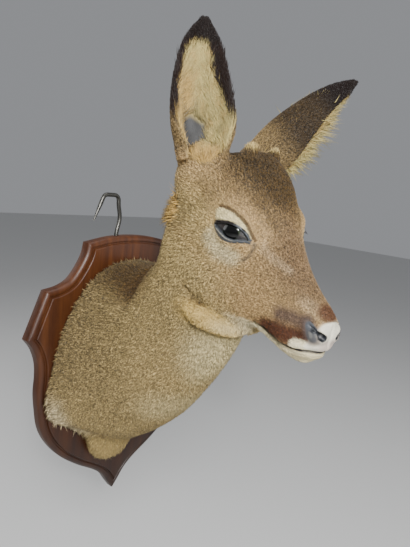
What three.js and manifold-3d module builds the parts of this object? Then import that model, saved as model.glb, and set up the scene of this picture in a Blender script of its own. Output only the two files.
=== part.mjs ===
// A young roe deer's head and shoulders, mounted on a shield board that hangs
// from a steel hook. Millimetres, +Z up. The origin is the middle of the
// board's back face, the animal faces -Y and its left side is at +X.
import * as THREE from "three";
import { mergeVertices } from "three/addons/utils/BufferGeometryUtils.js";
import Module from "manifold-3d";

const wasm = await Module();
wasm.setup();

// ---- driving sizes -------------------------------------------------------
const gap = 0.3; // between pieces that touch
const board = {
  edge: 9, // height of the square edge
  front: 13.6, // height of the raised front panel
  tip: -147.5,
  top: 147.5,
};
const bodyBack = -board.front - gap; // the hide's flat back
const headPose = { place: [-29.1, -205.1, 178.7], yaw: -6.4, pitch: -22.2, roll: -0.5 };
const eye = { centre: [-5.5, 26.5, -3.5], radius: 14, halfLength: 18.5, upper: 7.5, lower: 6.5 };
const neckPivot = { y: 0, z: 236 };
const earThickness = 7; // hide and hair together
const ears = {
  right: { root: [-65, -36.5, 28], tip: [0.0, 0.075, 1.0], face: [-0.45, -0.85, 0.0], length: 110, spread: 1 },
  left: { root: [-66, 27, 28], tip: [0.51, -0.5, 0.7], face: [0.81, 0.0, -0.59], length: 114, spread: 0.8 },
};
const wire = { radius: 2.2, x: -18, y: -3, foot: 118, shoulder: 183, bend: 6, flat: 9, bow: 3, tip: [-48.2, 162] };

// ---- small vector kit ----------------------------------------------------
const rad = Math.PI / 180;
const dot = (a, b) => a[0] * b[0] + a[1] * b[1] + a[2] * b[2];
const add = (a, b) => [a[0] + b[0], a[1] + b[1], a[2] + b[2]];
const sub = (a, b) => [a[0] - b[0], a[1] - b[1], a[2] - b[2]];
const scale = (a, k) => [a[0] * k, a[1] * k, a[2] * k];
const cross = (a, b) => [a[1] * b[2] - a[2] * b[1], a[2] * b[0] - a[0] * b[2], a[0] * b[1] - a[1] * b[0]];
const unit = (a) => scale(a, 1 / Math.hypot(...a));
const mirrored = (a, side) => [a[0], a[1] * side, a[2]];

// ---- distance fields: below zero is inside -------------------------------
function smoothUnion(a, b, k) {
  const h = Math.min(1, Math.max(0, 0.5 + (0.5 * (b - a)) / k));
  return b * (1 - h) + a * h - k * h * (1 - h);
}
function ellipsoid(p, centre, radii) {
  const q = sub(p, centre);
  const near = Math.hypot(q[0] / radii[0], q[1] / radii[1], q[2] / radii[2]);
  const slope = Math.hypot(q[0] / radii[0] ** 2, q[1] / radii[1] ** 2, q[2] / radii[2] ** 2);
  return (near * (near - 1)) / Math.max(slope, 1e-9);
}
function taperedRod(p, a, b, radiusA, radiusB) {
  const ab = sub(b, a);
  const t = Math.min(1, Math.max(0, dot(sub(p, a), ab) / dot(ab, ab)));
  return Math.hypot(...sub(p, add(a, scale(ab, t)))) - (radiusA + (radiusB - radiusA) * t);
}

// A smooth curve through stations [[x, value, value, ...], ...] that doesn't overshoot.
function curveThrough(stations) {
  const xs = stations.map((s) => s[0]);
  const count = stations[0].length - 1;
  const slopes = [];
  for (let c = 1; c <= count; c++) {
    const secant = xs.slice(1).map((x, i) => (stations[i + 1][c] - stations[i][c]) / (x - xs[i]));
    slopes.push(xs.map((_, i) => {
      if (i === 0) return secant[0];
      if (i === xs.length - 1) return secant[i - 1];
      if (secant[i - 1] * secant[i] <= 0) return 0;
      const h0 = xs[i] - xs[i - 1];
      const h1 = xs[i + 1] - xs[i];
      return (3 * (h0 + h1)) / ((2 * h1 + h0) / secant[i - 1] + (h1 + 2 * h0) / secant[i]);
    }));
  }
  return (value) => {
    const x = Math.min(xs[xs.length - 1], Math.max(xs[0], value));
    let i = 0;
    while (i < xs.length - 2 && x > xs[i + 1]) i++;
    const h = xs[i + 1] - xs[i];
    const t = (x - xs[i]) / h;
    return slopes.map((m, c) =>
      (1 + 2 * t) * (1 - t) ** 2 * stations[i][c + 1] + t * (1 - t) ** 2 * h * m[i]
      + t * t * (3 - 2 * t) * stations[i + 1][c + 1] + t * t * (t - 1) * h * m[i + 1]);
  };
}

// ---- head ----------------------------------------------------------------
// The head's own axes: x to the nose, y to the animal's left, z to the crown.
function headAxes() {
  const [y, p, r] = [headPose.yaw * rad, headPose.pitch * rad, headPose.roll * rad];
  const forward = [Math.sin(y) * Math.cos(p), -Math.cos(y) * Math.cos(p), Math.sin(p)];
  const level = unit(cross([0, 0, 1], forward));
  const top = cross(forward, level);
  const left = add(scale(level, Math.cos(r)), scale(top, Math.sin(r)));
  return [forward, left, cross(forward, left)];
}
const axes = headAxes();
const toHead = (p) => {
  const d = sub(p, headPose.place);
  return axes.map((a) => dot(d, a));
};
const fromHead = (q) =>
  add(headPose.place, add(scale(axes[0], q[0]), add(scale(axes[1], q[1]), scale(axes[2], q[2]))));

const headProfile = curveThrough([
  // along the head: top, bottom, half width, level of the greatest width
  [-94, 10, -42, 31, -8],
  [-74, 33, -52, 39.5, -6],
  [-54, 46, -57, 39, -8],
  [-34, 54, -63, 39, -10],
  [-14, 48, -68, 37, -12],
  [4, 31, -70, 34, -14],
  [22, 13.5, -70, 27, -22],
  [42, -0.5, -70.5, 20.5, -30],
  [62, -10.8, -71, 16.5, -36],
  [78, -16.5, -66.5, 14.5, -40],
  [90, -21, -60.5, 12, -43],
  [100, -25.5, -52.5, 9, -42],
]);
function headLoft(q) {
  const [top, bottom, width, level] = headProfile(q[0]);
  const high = q[2] > level;
  const reach = high ? top - level : level - bottom;
  const v = Math.abs(q[2] - level) / reach;
  const u = Math.abs(q[1]) / width;
  let f = (Math.sqrt(u ** (high ? 2.2 : 2) + v ** (high ? 2.3 : 2)) - 1) * Math.min(width, reach) * 0.9;
  f = -smoothUnion(-f, 95 - q[0], 12); // rounded nose
  return -smoothUnion(-f, 90 + q[0], 24); // rounded nape
}
function headField(p) {
  const q = toHead(p);
  let f = headLoft(q);
  for (const side of [-1, 1]) {
    const at = (v) => mirrored(v, side);
    const ball = at(eye.centre);
    f = smoothUnion(f, ellipsoid(q, add(ball, at([-4, 2.5, 12])), [18, 11, 12]), 8); // brow
    f = smoothUnion(f, ellipsoid(q, ball, [17.5, 15.6, 15.4]), 5); // orbit's rim
    f = smoothUnion(f, taperedRod(q, at([12, 21, -20]), at([-45, 32, -16]), 6, 8), 12); // cheek bone
    f = smoothUnion(f, ellipsoid(q, at([-22, 21, -42]), [31, 15, 26]), 10); // jaw muscle
    f = smoothUnion(f, ellipsoid(q, at([-37, 13.5, 46.5]), [7, 6.5, 10.5]), 5); // antler's bump
    f = smoothUnion(f, ellipsoid(q, at([84, 9, -35]), [10, 8, 8]), 5); // nostril's wing
    f = smoothUnion(f, ellipsoid(q, at([68, 11, -50]), [19, 7, 8]), 6); // upper lip
    f = smoothUnion(f, ellipsoid(q, at([-66, 33, 18]), [20, 17, 26]), 14); // ear's foot
  }
  return smoothUnion(f, ellipsoid(q, [72, 0, -60], [14, 10, 6]), 5); // chin
}

// ---- neck and shoulders: sections that turn about a pivot above the nape --
const neckProfile = curveThrough([
  // turn in degrees: nape radius, throat radius, half width, middle, level share
  [-8, 112, 336, 99, 0, 0.7],
  [6, 112, 314, 88, -2, 0.66],
  [18, 116, 288, 68, -6, 0.56],
  [32, 126, 263, 50, -16, 0.48],
  [46, 134, 245, 45.5, -24, 0.44],
  [60, 129, 229, 45.5, -31, 0.45],
  [76, 122, 215, 42, -35, 0.48],
]);
// how far the hide spreads on the board, by height
const footFlare = curveThrough([
  [-80, -0.18], [-63, -0.18], [-52, -0.1], [-42, 0.03], [-33, 0.09], [-18, 0.09], [0, 0.06],
  [33, 0.05], [90, 0.045], [104, 0.07], [125, 0.04],
]);
function neckField(p) {
  const dy = p[1] - neckPivot.y;
  const dz = p[2] - neckPivot.z;
  const r = Math.hypot(dy, dz);
  const turn = Math.atan2(-dy, -dz);
  const [inner, outer, plain, middle, share] = neckProfile(turn / rad);
  const near = Math.min(1, Math.max(0, (16 - turn / rad) / 11)); // 1 at the board, 0 from 16 degrees on
  const width = plain * (1 + footFlare(p[2])[0] * near * near * (3 - 2 * near));
  const level = inner + (outer - inner) * share;
  const low = r > level;
  const reach = low ? outer - level : level - inner;
  const u = Math.abs(p[0] - middle) / width;
  const v = Math.abs(r - level) / reach;
  const f = (Math.sqrt(u ** 2.15 + v ** (low ? 1.95 : 2.2) + 1e-9) - 1) * Math.min(width, reach) * 0.92;
  const end = (turn - 66 * rad) * r;
  return Math.max(-smoothUnion(-f, -end, 24), (-12 * rad - turn) * r);
}
function bodyField(p) {
  let f = smoothUnion(headField(p), neckField(p), 22);
  return smoothUnion(f, ellipsoid(p, [-16, -22, -74], [34, 20, 27]), 12); // brisket's lobe
}

// ---- a faceted closed surface around a field ------------------------------
// Grid lines, close together over the head and wider over the shoulders.
function lines(from, to, fineFrom, fineTo, fine, coarse) {
  const xs = [from];
  while (xs[xs.length - 1] < to) {
    const x = xs[xs.length - 1];
    xs.push(x + (x >= fineFrom && x < fineTo ? fine : coarse));
  }
  return xs;
}
function slopeOf(field, p, h = 0.3) {
  return [0, 1, 2].map((i) => {
    const a = [...p];
    const b = [...p];
    a[i] += h;
    b[i] -= h;
    return (field(a) - field(b)) / (2 * h);
  });
}
function wrapField(field, grid) {
  const [nx, ny, nz] = grid.map((g) => g.length);
  const at = (i, j, k) => (i * ny + j) * nz + k;
  const values = new Float64Array(nx * ny * nz);
  for (let i = 0; i < nx; i++)
    for (let j = 0; j < ny; j++)
      for (let k = 0; k < nz; k++) values[at(i, j, k)] = field([grid[0][i], grid[1][j], grid[2][k]]);
  const vertexOf = new Map();
  const points = [];
  const corners = [0, 1, 2, 3, 4, 5, 6, 7].map((c) => [c & 1, (c >> 1) & 1, (c >> 2) & 1]);
  for (let i = 0; i < nx - 1; i++)
    for (let j = 0; j < ny - 1; j++)
      for (let k = 0; k < nz - 1; k++) {
        let sum = [0, 0, 0];
        let hits = 0;
        for (const a of corners)
          for (let axis = 0; axis < 3; axis++) {
            if (a[axis]) continue;
            const b = [...a];
            b[axis] = 1;
            const fa = values[at(i + a[0], j + a[1], k + a[2])];
            const fb = values[at(i + b[0], j + b[1], k + b[2])];
            if (fa < 0 === fb < 0) continue;
            const t = fa / (fa - fb);
            const pa = [grid[0][i + a[0]], grid[1][j + a[1]], grid[2][k + a[2]]];
            const pb = [grid[0][i + b[0]], grid[1][j + b[1]], grid[2][k + b[2]]];
            sum = add(sum, add(pa, scale(sub(pb, pa), t)));
            hits++;
          }
        if (!hits) continue;
        let p = scale(sum, 1 / hits);
        for (let round = 0; round < 3; round++) {
          const g = slopeOf(field, p);
          const step = -field(p) / Math.max(dot(g, g), 0.2);
          p = add(p, scale(g, Math.max(-2, Math.min(2, step))));
        }
        vertexOf.set(at(i, j, k), points.length);
        points.push(p);
      }
  const faces = [];
  const quad = (a, b, c, d, turned) => {
    const split = Math.hypot(...sub(points[a], points[c])) <= Math.hypot(...sub(points[b], points[d]));
    const list = split ? [[a, b, c], [a, c, d]] : [[a, b, d], [b, c, d]];
    for (const t of list) faces.push(turned ? [t[0], t[2], t[1]] : t);
  };
  for (let i = 1; i < nx - 1; i++)
    for (let j = 1; j < ny - 1; j++)
      for (let k = 1; k < nz - 1; k++) {
        const here = values[at(i, j, k)] < 0;
        const v = (a, b, c) => vertexOf.get(at(i + a, j + b, k + c));
        if (here !== values[at(i + 1, j, k)] < 0) quad(v(0, -1, -1), v(0, 0, -1), v(0, 0, 0), v(0, -1, 0), !here);
        if (here !== values[at(i, j + 1, k)] < 0) quad(v(-1, 0, -1), v(0, 0, -1), v(0, 0, 0), v(-1, 0, 0), here);
        if (here !== values[at(i, j, k + 1)] < 0) quad(v(-1, -1, 0), v(0, -1, 0), v(0, 0, 0), v(-1, 0, 0), !here);
      }
  return solidFrom(points, faces);
}

// ---- between lists, solids and geometries ---------------------------------
function solidFrom(points, faces) {
  return new wasm.Manifold(new wasm.Mesh({
    numProp: 3,
    vertProperties: new Float32Array(points.flat()),
    triVerts: new Uint32Array(faces.flat()),
  }));
}
function solidOf(geometry, matrix) {
  const g = geometry.clone();
  if (matrix) g.applyMatrix4(matrix);
  for (const name of Object.keys(g.attributes)) if (name !== "position") g.deleteAttribute(name);
  const merged = mergeVertices(g, 1e-4);
  const index = merged.index.array;
  const triVerts = [];
  for (let i = 0; i < index.length; i += 3) {
    const [a, b, c] = [index[i], index[i + 1], index[i + 2]];
    if (a !== b && b !== c && a !== c) triVerts.push(a, b, c);
  }
  return new wasm.Manifold(new wasm.Mesh({
    numProp: 3,
    vertProperties: new Float32Array(merged.attributes.position.array),
    triVerts: new Uint32Array(triVerts),
  }));
}
// Shrinks the slivers that a cut leaves: each edge shorter than `shortest` closes
// to a point, where that turns no face over and keeps the surface closed.
function withoutSlivers(points, faces, shortest) {
  const users = points.map(() => new Set());
  faces.forEach((t, i) => t.forEach((v) => users[v].add(i)));
  const faceNormal = (t) => cross(sub(points[t[1]], points[t[0]]), sub(points[t[2]], points[t[0]]));
  const ringOf = (v) => new Set([...users[v]].flatMap((i) => faces[i]).filter((u) => u !== v));
  for (let pass = 0; pass < 6; pass++) {
    let closed = 0;
    for (let i = 0; i < faces.length; i++) {
      if (!faces[i]) continue;
      for (let e = 0; e < 3 && faces[i]; e++) {
        for (const [keep, drop] of [[faces[i][e], faces[i][(e + 1) % 3]], [faces[i][(e + 1) % 3], faces[i][e]]]) {
          if (Math.hypot(...sub(points[keep], points[drop])) > shortest) break;
          const shared = [...ringOf(keep)].filter((u) => ringOf(drop).has(u));
          if (shared.length !== 2) continue;
          const moved = [...users[drop]].filter((f) => !faces[f].includes(keep));
          const fine = moved.every((f) => {
            const before = faceNormal(faces[f]);
            const after = faceNormal(faces[f].map((v) => (v === drop ? keep : v)));
            const size = Math.hypot(...before) * Math.hypot(...after);
            return size < 1e-9 ? Math.hypot(...after) > 1e-3 : dot(before, after) > 0.7 * size;
          });
          if (!fine) continue;
          for (const f of [...users[drop]]) {
            if (faces[f].includes(keep)) {
              faces[f].forEach((v) => users[v].delete(f));
              faces[f] = null;
            } else {
              faces[f] = faces[f].map((v) => (v === drop ? keep : v));
              users[keep].add(f);
            }
          }
          users[drop].clear();
          closed++;
          break;
        }
      }
    }
    if (!closed) break;
  }
  return faces.filter(Boolean);
}
function listsOf(solid) {
  const mesh = solid.getMesh();
  const points = [];
  for (let i = 0; i < mesh.numVert; i++) points.push(Array.from(mesh.vertProperties.slice(i * mesh.numProp, i * mesh.numProp + 3)));
  const merged = Array.from({ length: mesh.numVert }, (_, i) => i);
  for (let i = 0; i < (mesh.mergeFromVert ?? []).length; i++) merged[mesh.mergeFromVert[i]] = mesh.mergeToVert[i];
  const faces = [];
  for (let i = 0; i < mesh.triVerts.length; i += 3) faces.push(Array.from(mesh.triVerts.slice(i, i + 3)).map((v) => merged[v]));
  return { points, faces };
}
function withoutSliversSolid(solid, shortest) {
  const { points, faces } = listsOf(solid);
  return solidFrom(points, withoutSlivers(points, faces, shortest));
}
function geometryOf(solid) {
  const { points, faces: all } = listsOf(solid);
  const faces = withoutSlivers(points, all, 0.1);
  // two corners at one place draw apart a little, each into its own side
  const seen = new Map();
  const pull = points.map(() => [0, 0, 0]);
  for (const t of faces) {
    const n = cross(sub(points[t[1]], points[t[0]]), sub(points[t[2]], points[t[0]]));
    for (const v of t) pull[v] = add(pull[v], n);
  }
  for (const v of new Set(faces.flat())) {
    const key = points[v].map((x) => x.toFixed(3)).join();
    if (seen.has(key)) for (const w of [v, seen.get(key)]) points[w] = sub(points[w], scale(unit(pull[w]), 0.04));
    else seen.set(key, v);
  }
  const g = new THREE.BufferGeometry();
  g.setAttribute("position", new THREE.BufferAttribute(new Float32Array(points.flat()), 3));
  g.setIndex(faces.flat());
  return g;
}
// A box with its own axes: centre, three unit directions and three full sizes.
function turnedBox(centre, directions, sizes) {
  const m = new THREE.Matrix4().makeBasis(...directions.map((d) => new THREE.Vector3(...d)));
  m.setPosition(...centre);
  return solidOf(new THREE.BoxGeometry(...sizes), m);
}
function ball(centre, radii, directions = [[1, 0, 0], [0, 1, 0], [0, 0, 1]], across = 20, down = 12) {
  const m = new THREE.Matrix4().makeBasis(...directions.map((d, i) => new THREE.Vector3(...scale(d, radii[i]))));
  m.setPosition(...centre);
  return solidOf(new THREE.SphereGeometry(1, across, down), m);
}

// ---- rings of points joined into a closed body -----------------------------
function loft(rings) {
  const n = rings[0].length;
  const points = rings.flat();
  const faces = [];
  for (let r = 0; r < rings.length - 1; r++)
    for (let i = 0; i < n; i++) {
      const a = r * n + i;
      const b = r * n + ((i + 1) % n);
      faces.push([a, b, b + n], [a, b + n, a + n]);
    }
  for (const [ring, turned] of [[0, true], [rings.length - 1, false]]) {
    const middle = scale(rings[ring].reduce(add), 1 / n);
    points.push(middle);
    for (let i = 0; i < n; i++) {
      const t = [ring * n + i, ring * n + ((i + 1) % n), points.length - 1];
      faces.push(turned ? [t[1], t[0], t[2]] : t);
    }
  }
  const solid = solidFrom(points, faces);
  return solid.volume() < 0 ? solidFrom(points, faces.map((t) => [t[0], t[2], t[1]])) : solid;
}

// ---- ears: a leaf rolled into a cup -----------------------------------------
const earProfile = curveThrough([
  // share of the length: curl radius, half angle, bend to the back
  [0.0, 17, 122, 0],
  [0.1, 20, 114, 0],
  [0.22, 23.5, 100, -2],
  [0.36, 25, 86, -3],
  [0.52, 25, 68, -2],
  [0.7, 25, 49, 1],
  [0.84, 24.5, 35, 5],
  [0.94, 23.5, 21, 9],
  [1.0, 22.5, 9, 12],
]);
function earAxes(e) {
  const along = unit(e.tip);
  const face = unit(sub(e.face, scale(along, dot(e.face, along))));
  return { root: fromHead(e.root), along, face, across: cross(along, face) };
}
function earSolid(e) {
  const { root, along, face, across } = earAxes(e);
  const rings = [];
  for (const s of [0.03, 0.1, 0.17, 0.25, 0.34, 0.44, 0.55, 0.66, 0.76, 0.85, 0.93, 1.0]) {
    const [curl, half, bend] = earProfile(s);
    const ring = [];
    const steps = 9;
    const point = (angle, offset) => {
      const r = curl + offset;
      const b = Math.sin(angle) * r;
      const c = -15 + bend + curl - Math.cos(angle) * r;
      return add(root, add(scale(along, s * e.length), add(scale(across, b), scale(face, c))));
    };
    const wide = Math.min(half * e.spread * rad + 2.5 / curl, 158 * rad);
    const thick = earThickness / 2 * (s > 0.9 ? 0.6 : 1);
    for (let i = 0; i <= steps; i++) ring.push(point(-wide + (2 * wide * i) / steps, thick));
    for (let i = steps; i >= 0; i--) ring.push(point(-wide + (2 * wide * i) / steps, -thick));
    rings.push(ring);
  }
  return loft(rings);
}

// ---- eyes -------------------------------------------------------------------
function eyeAxes(side) {
  const out = unit([0.3, side * 0.95, 0.06]);
  let along = [0.93, -side * 0.3, -0.06];
  along = unit(sub(along, scale(out, dot(along, out))));
  let upward = cross(out, along);
  if (upward[2] < 0) upward = scale(upward, -1);
  return { out, along, upward };
}
const headDirection = (v) => sub(fromHead(v), fromHead([0, 0, 0]));
function lidOpening(side) {
  const { out, along, upward } = eyeAxes(side);
  const centre = mirrored(eye.centre, side);
  const rim = [];
  const steps = 10;
  for (let i = 0; i < steps; i++) {
    const u = -1 + (2 * i) / steps;
    rim.push([u * eye.halfLength, -eye.lower * (1 - u * u) ** 0.9]);
  }
  for (let i = 0; i < steps; i++) {
    const u = 1 - (2 * i) / steps;
    rim.push([u * eye.halfLength, eye.upper * (1 - u * u) ** 0.85]);
  }
  const ringAt = (depth, grow) => rim.map(([a, b]) =>
    fromHead(add(centre, add(scale(out, depth), add(scale(along, a * grow), scale(upward, b * grow))))));
  return loft([ringAt(4, 0.95), ringAt(14, 1), ringAt(34, 1.25)]);
}
function eyeBall(side, grow = 0) {
  const { along, upward } = eyeAxes(side);
  const r = eye.radius + grow;
  const basis = [along, upward, cross(along, upward)].map(headDirection);
  return ball(fromHead(mirrored(eye.centre, side)), [r, r, r], basis, 18, 10);
}

// ---- board ------------------------------------------------------------------
// The right half of the shield's outline, from the arch's top to the lower tip.
const shield = [
  [0, 147.5], [28, 145.8], [57.5, 140.1], [59.6, 128.6], [66.7, 114.7], [75.9, 102.9], [87.4, 96.6],
  [102.3, 93.4], [120, 46.6], [111.8, 35.8], [106.4, 21.8], [104.9, 7.2], [105.4, -10.4], [103.2, -28.9],
  [99.2, -48.8], [90.3, -66.4], [74.9, -84.7], [52.1, -101.8], [28.2, -116.1], [15.3, -126.8], [6.9, -138.4],
  [0, board.tip],
];
function boardSolid() {
  const outline = [...shield, ...shield.slice(1, -1).reverse().map(([x, z]) => [-x, z])];
  const inset = (by) => outline.map((p, i) => {
    const before = outline[(i + outline.length - 1) % outline.length];
    const after = outline[(i + 1) % outline.length];
    const normal = (a, b) => {
      const l = Math.hypot(b[0] - a[0], b[1] - a[1]);
      return [(b[1] - a[1]) / l, -(b[0] - a[0]) / l];
    };
    const [n0, n1] = [normal(before, p), normal(p, after)];
    const k = by / (1 + n0[0] * n1[0] + n0[1] * n1[1]);
    return [p[0] + (n0[0] + n1[0]) * k, p[1] + (n0[1] + n1[1]) * k];
  });
  // inset from the outline and height above the back, from edge to panel
  const moulding = [[0, 0], [0, board.edge], [1.6, 10.6], [3.6, 11.6], [5.6, 11.8], [6.0, 10.8], [7.2, 10.8], [8.2, board.front]];
  return loft(moulding.map(([by, high]) => inset(by).map(([x, z]) => [x, -high, z])));
}

// ---- hanger -----------------------------------------------------------------
function hangerPath() {
  const path = [[wire.x, wire.foot], [wire.x, board.top]];
  for (let i = 1; i <= 6; i++) { // the leg bows a little
    const t = i / 6;
    path.push([wire.x + wire.bow * Math.sin(Math.PI * t) ** 2, board.top + (wire.shoulder - board.top) * t]);
  }
  for (const [middle, from] of [[wire.x - wire.bend, 0], [wire.x - wire.bend - wire.flat, 90]]) {
    for (let i = from ? 0 : 1; i <= 4; i++) {
      const a = (from + i * (from ? 17 : 22.5)) * rad;
      path.push([middle + wire.bend * Math.cos(a), wire.shoulder + wire.bend * Math.sin(a)]);
    }
  }
  const end = path[path.length - 1];
  for (const t of [0.5, 0.8, 1]) {
    path.push([end[0] + (wire.tip[0] - end[0]) * t, end[1] + (wire.tip[1] - end[1]) * t]);
  }
  return path;
}
function hangerSolid(grow = 0) {
  const path = hangerPath();
  const rings = path.map((p, i) => {
    const a = path[Math.max(0, i - 1)];
    const b = path[Math.min(path.length - 1, i + 1)];
    const t = unit([b[0] - a[0], 0, b[1] - a[1]]);
    const side = cross(t, [0, 1, 0]);
    const left = path.length - 1 - i;
    const r = (left === 0 ? 0.7 : left === 1 ? 1.7 : wire.radius) + grow;
    return Array.from({ length: 10 }, (_, k) => {
      const w = (k * 2 * Math.PI) / 10;
      return add([p[0], wire.y, p[1]], add(scale(side, r * Math.cos(w)), [0, r * Math.sin(w), 0]));
    });
  });
  return loft(rings);
}

// half spaces, as large boxes: a point on the plane and the way out of it
function beyond(point, normal) {
  const n = unit(normal);
  const side = unit(cross(n, Math.abs(n[2]) < 0.9 ? [0, 0, 1] : [1, 0, 0]));
  return turnedBox(add(point, scale(n, 500)), [n, side, cross(n, side)], [1000, 1000, 1000]);
}
const cut = (solid, point, normal) => ({
  far: solid.intersect(beyond(add(point, scale(unit(normal), gap / 2)), normal)),
  near: solid.subtract(beyond(sub(point, scale(unit(normal), gap / 2)), normal)),
});

// ---- the whole hide, then its named pieces ----------------------------------
const whole = wrapField(bodyField, [
  lines(-132, 132, -86, 22, 8, 13),
  lines(-330, 76, -322, -150, 7.6, 13),
  lines(-132, 262, 116, 250, 8, 13),
]);

const socket = (side) => eyeBall(side, gap).add(lidOpening(side));
let hide = withoutSliversSolid(whole.subtract(beyond([0, bodyBack, 0], [0, 1, 0])), 2.5);

// each ear is parted from the head by a thin disc across its cup's foot
for (const e of Object.values(ears)) hide = hide.add(earSolid(e));
hide = withoutSliversSolid(hide, 1.6).subtract(socket(-1)).subtract(socket(1));
const earFoot = 0.18;
for (const e of Object.values(ears)) {
  const { root, along, face, across } = earAxes(e);
  const [curl, , bend] = earProfile(earFoot);
  const middle = add(root, add(scale(along, earFoot * e.length), scale(face, -15 + bend + curl)));
  hide = hide.subtract(turnedBox(middle, [face, across, along], [74, 74, gap]));
}
const [rest, ...loose] = hide.decompose().sort((a, b) => b.volume() - a.volume());
const middleX = (solid) => {
  const { min, max } = solid.boundingBox();
  return (min[0] + max[0]) / 2;
};
const [earRight, earLeft] = loose.slice(0, 2).sort((a, b) => middleX(a) - middleX(b));

const shoulderTurn = 17 * rad;
const neckTurn = 52 * rad;
const turnPlane = (turn) => ({
  point: [0, neckPivot.y, neckPivot.z],
  normal: [0, -Math.cos(turn), Math.sin(turn)],
});
const shoulderPlane = turnPlane(shoulderTurn);
const neckPlane = turnPlane(neckTurn);
const { near: shoulders, far: front } = cut(rest, shoulderPlane.point, shoulderPlane.normal);
const { near: neck, far: headWhole } = cut(front, neckPlane.point, neckPlane.normal);

// the bare nose pad and the lower jaw are parted from the head
const padRadii = [11, 14, 11.5];
const pad = (grow) => ball(fromHead([95, 0, -33]), padRadii.map((r) => r + grow), axes, 20, 10);
const jawBox = (grow) => {
  const tilt = Math.atan2(7, 55);
  const forward = [Math.cos(tilt), 0, Math.sin(tilt)];
  const upward = [-Math.sin(tilt), 0, Math.cos(tilt)];
  const corner = add([37, 0, -57], add(scale(forward, -grow), scale(upward, grow)));
  const centre = add(corner, add(scale(forward, 50), scale(upward, -25)));
  return turnedBox(fromHead(centre), [forward, [0, 1, 0], upward].map(headDirection), [100, 80, 50]);
};
const nosePad = headWhole.intersect(pad(0)).subtract(jawBox(gap));
const lowerJaw = headWhole.intersect(jawBox(0));
const head = headWhole.subtract(pad(gap * 2)).subtract(jawBox(gap));

const hanger = hangerSolid();
// the wire lies in a groove in the board's back
const groove = hangerSolid(gap).add(
  turnedBox([wire.x, 4, 135], [[1, 0, 0], [0, 1, 0], [0, 0, 1]], [2 * (wire.radius + gap), 14, 2 * (135 - wire.foot + 0.5)]),
);
const boardBody = boardSolid().subtract(groove);

// ---- the scene graph --------------------------------------------------------
const looks = {
  coat: { color: 0x9a8260, roughness: 0.9, metalness: 0 },
  coatPale: { color: 0xcdb88c, roughness: 0.9, metalness: 0 },
  pale: { color: 0xe0d6c4, roughness: 0.8, metalness: 0 },
  glass: { color: 0x15180f, roughness: 0.05, metalness: 0 },
  wood: { color: 0x5a2818, roughness: 0.35, metalness: 0 },
  steel: { color: 0x8d8f92, roughness: 0.3, metalness: 1 },
};
const mount = new THREE.Group();
const place = (name, solid, look) => {
  const mesh = new THREE.Mesh(geometryOf(solid), new THREE.MeshStandardMaterial(looks[look]));
  mesh.name = name;
  mount.add(mesh);
};
place("shoulders", shoulders, "coat");
place("neck", neck, "coat");
place("head", head, "coat");
place("lower_jaw", lowerJaw, "pale");
place("nose_pad", nosePad, "pale");
place("ear_left", earLeft, "coat");
place("ear_right", earRight, "coatPale");
place("eye_left", eyeBall(1), "glass");
place("eye_right", eyeBall(-1), "glass");
place("board", boardBody, "wood");
place("hanger", hanger, "steel");

export default mount;
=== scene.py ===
import math
import bmesh
import bpy
import numpy as np
from mathutils import Matrix


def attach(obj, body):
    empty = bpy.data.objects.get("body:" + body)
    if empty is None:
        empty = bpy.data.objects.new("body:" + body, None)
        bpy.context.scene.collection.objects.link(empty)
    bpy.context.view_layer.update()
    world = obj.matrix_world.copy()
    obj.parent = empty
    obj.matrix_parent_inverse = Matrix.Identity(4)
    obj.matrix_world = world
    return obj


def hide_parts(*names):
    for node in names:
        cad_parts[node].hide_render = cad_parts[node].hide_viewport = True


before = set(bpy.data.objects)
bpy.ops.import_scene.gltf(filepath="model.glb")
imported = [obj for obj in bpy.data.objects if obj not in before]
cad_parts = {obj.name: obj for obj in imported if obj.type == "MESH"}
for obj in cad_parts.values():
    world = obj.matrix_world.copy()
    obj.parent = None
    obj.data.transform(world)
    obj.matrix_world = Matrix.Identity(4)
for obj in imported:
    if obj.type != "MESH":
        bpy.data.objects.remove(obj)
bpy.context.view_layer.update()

mm = 0.001

def unit(v):
    v = np.asarray(v, float)
    return v / np.linalg.norm(v)


def unitRows(v):
    return v / np.maximum(np.linalg.norm(v, axis=1), 1e-9)[:, None]


def paint(r, g, b):  # screen colour to linear
    c = np.array([r, g, b]) / 255
    return np.where(c <= 0.04045, c / 12.92, ((c + 0.055) / 1.055) ** 2.4)


def smoothUnion(a, b, k):
    h = np.clip(0.5 + 0.5 * (b - a) / k, 0, 1)
    return b * (1 - h) + a * h - k * h * (1 - h)


def smoothCut(a, b, k):
    return -smoothUnion(-a, b, k)


def step(low, high, x):
    t = np.clip((x - low) / (high - low), 0, 1)
    return t * t * (3 - 2 * t)


def ellipsoid(p, centre, radii):
    q = (p - np.asarray(centre)) / np.asarray(radii)
    near = np.linalg.norm(q, axis=1)
    slope = np.linalg.norm(q / np.asarray(radii), axis=1)
    return near * (near - 1) / np.maximum(slope, 1e-9)


def blob(p, centre, radii, soft=0.35):  # 1 inside an ellipsoid, fading to 0 outside
    q = np.linalg.norm((p - np.asarray(centre)) / np.asarray(radii), axis=1)
    return 1 - step(1 - soft, 1 + soft, q)


def lineDistance(p, points):
    best = np.full(len(p), 1e9)
    share = np.zeros(len(p))
    points = np.asarray(points, float)
    for i in range(len(points) - 1):
        a, ab = points[i], points[i + 1] - points[i]
        t = np.clip(((p - a) @ ab) / (ab @ ab), 0, 1)
        d = np.linalg.norm(p - a - t[:, None] * ab, axis=1)
        m = d < best
        best[m] = d[m]
        share[m] = (i + t[m]) / (len(points) - 1)
    return best, share


def groove(p, points, width, depth):  # fades out at both ends
    d, share = lineDistance(p, points)
    return depth * np.exp(-(d / width) ** 2) * step(0, 0.15, share) * step(0, 0.15, 1 - share)


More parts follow.
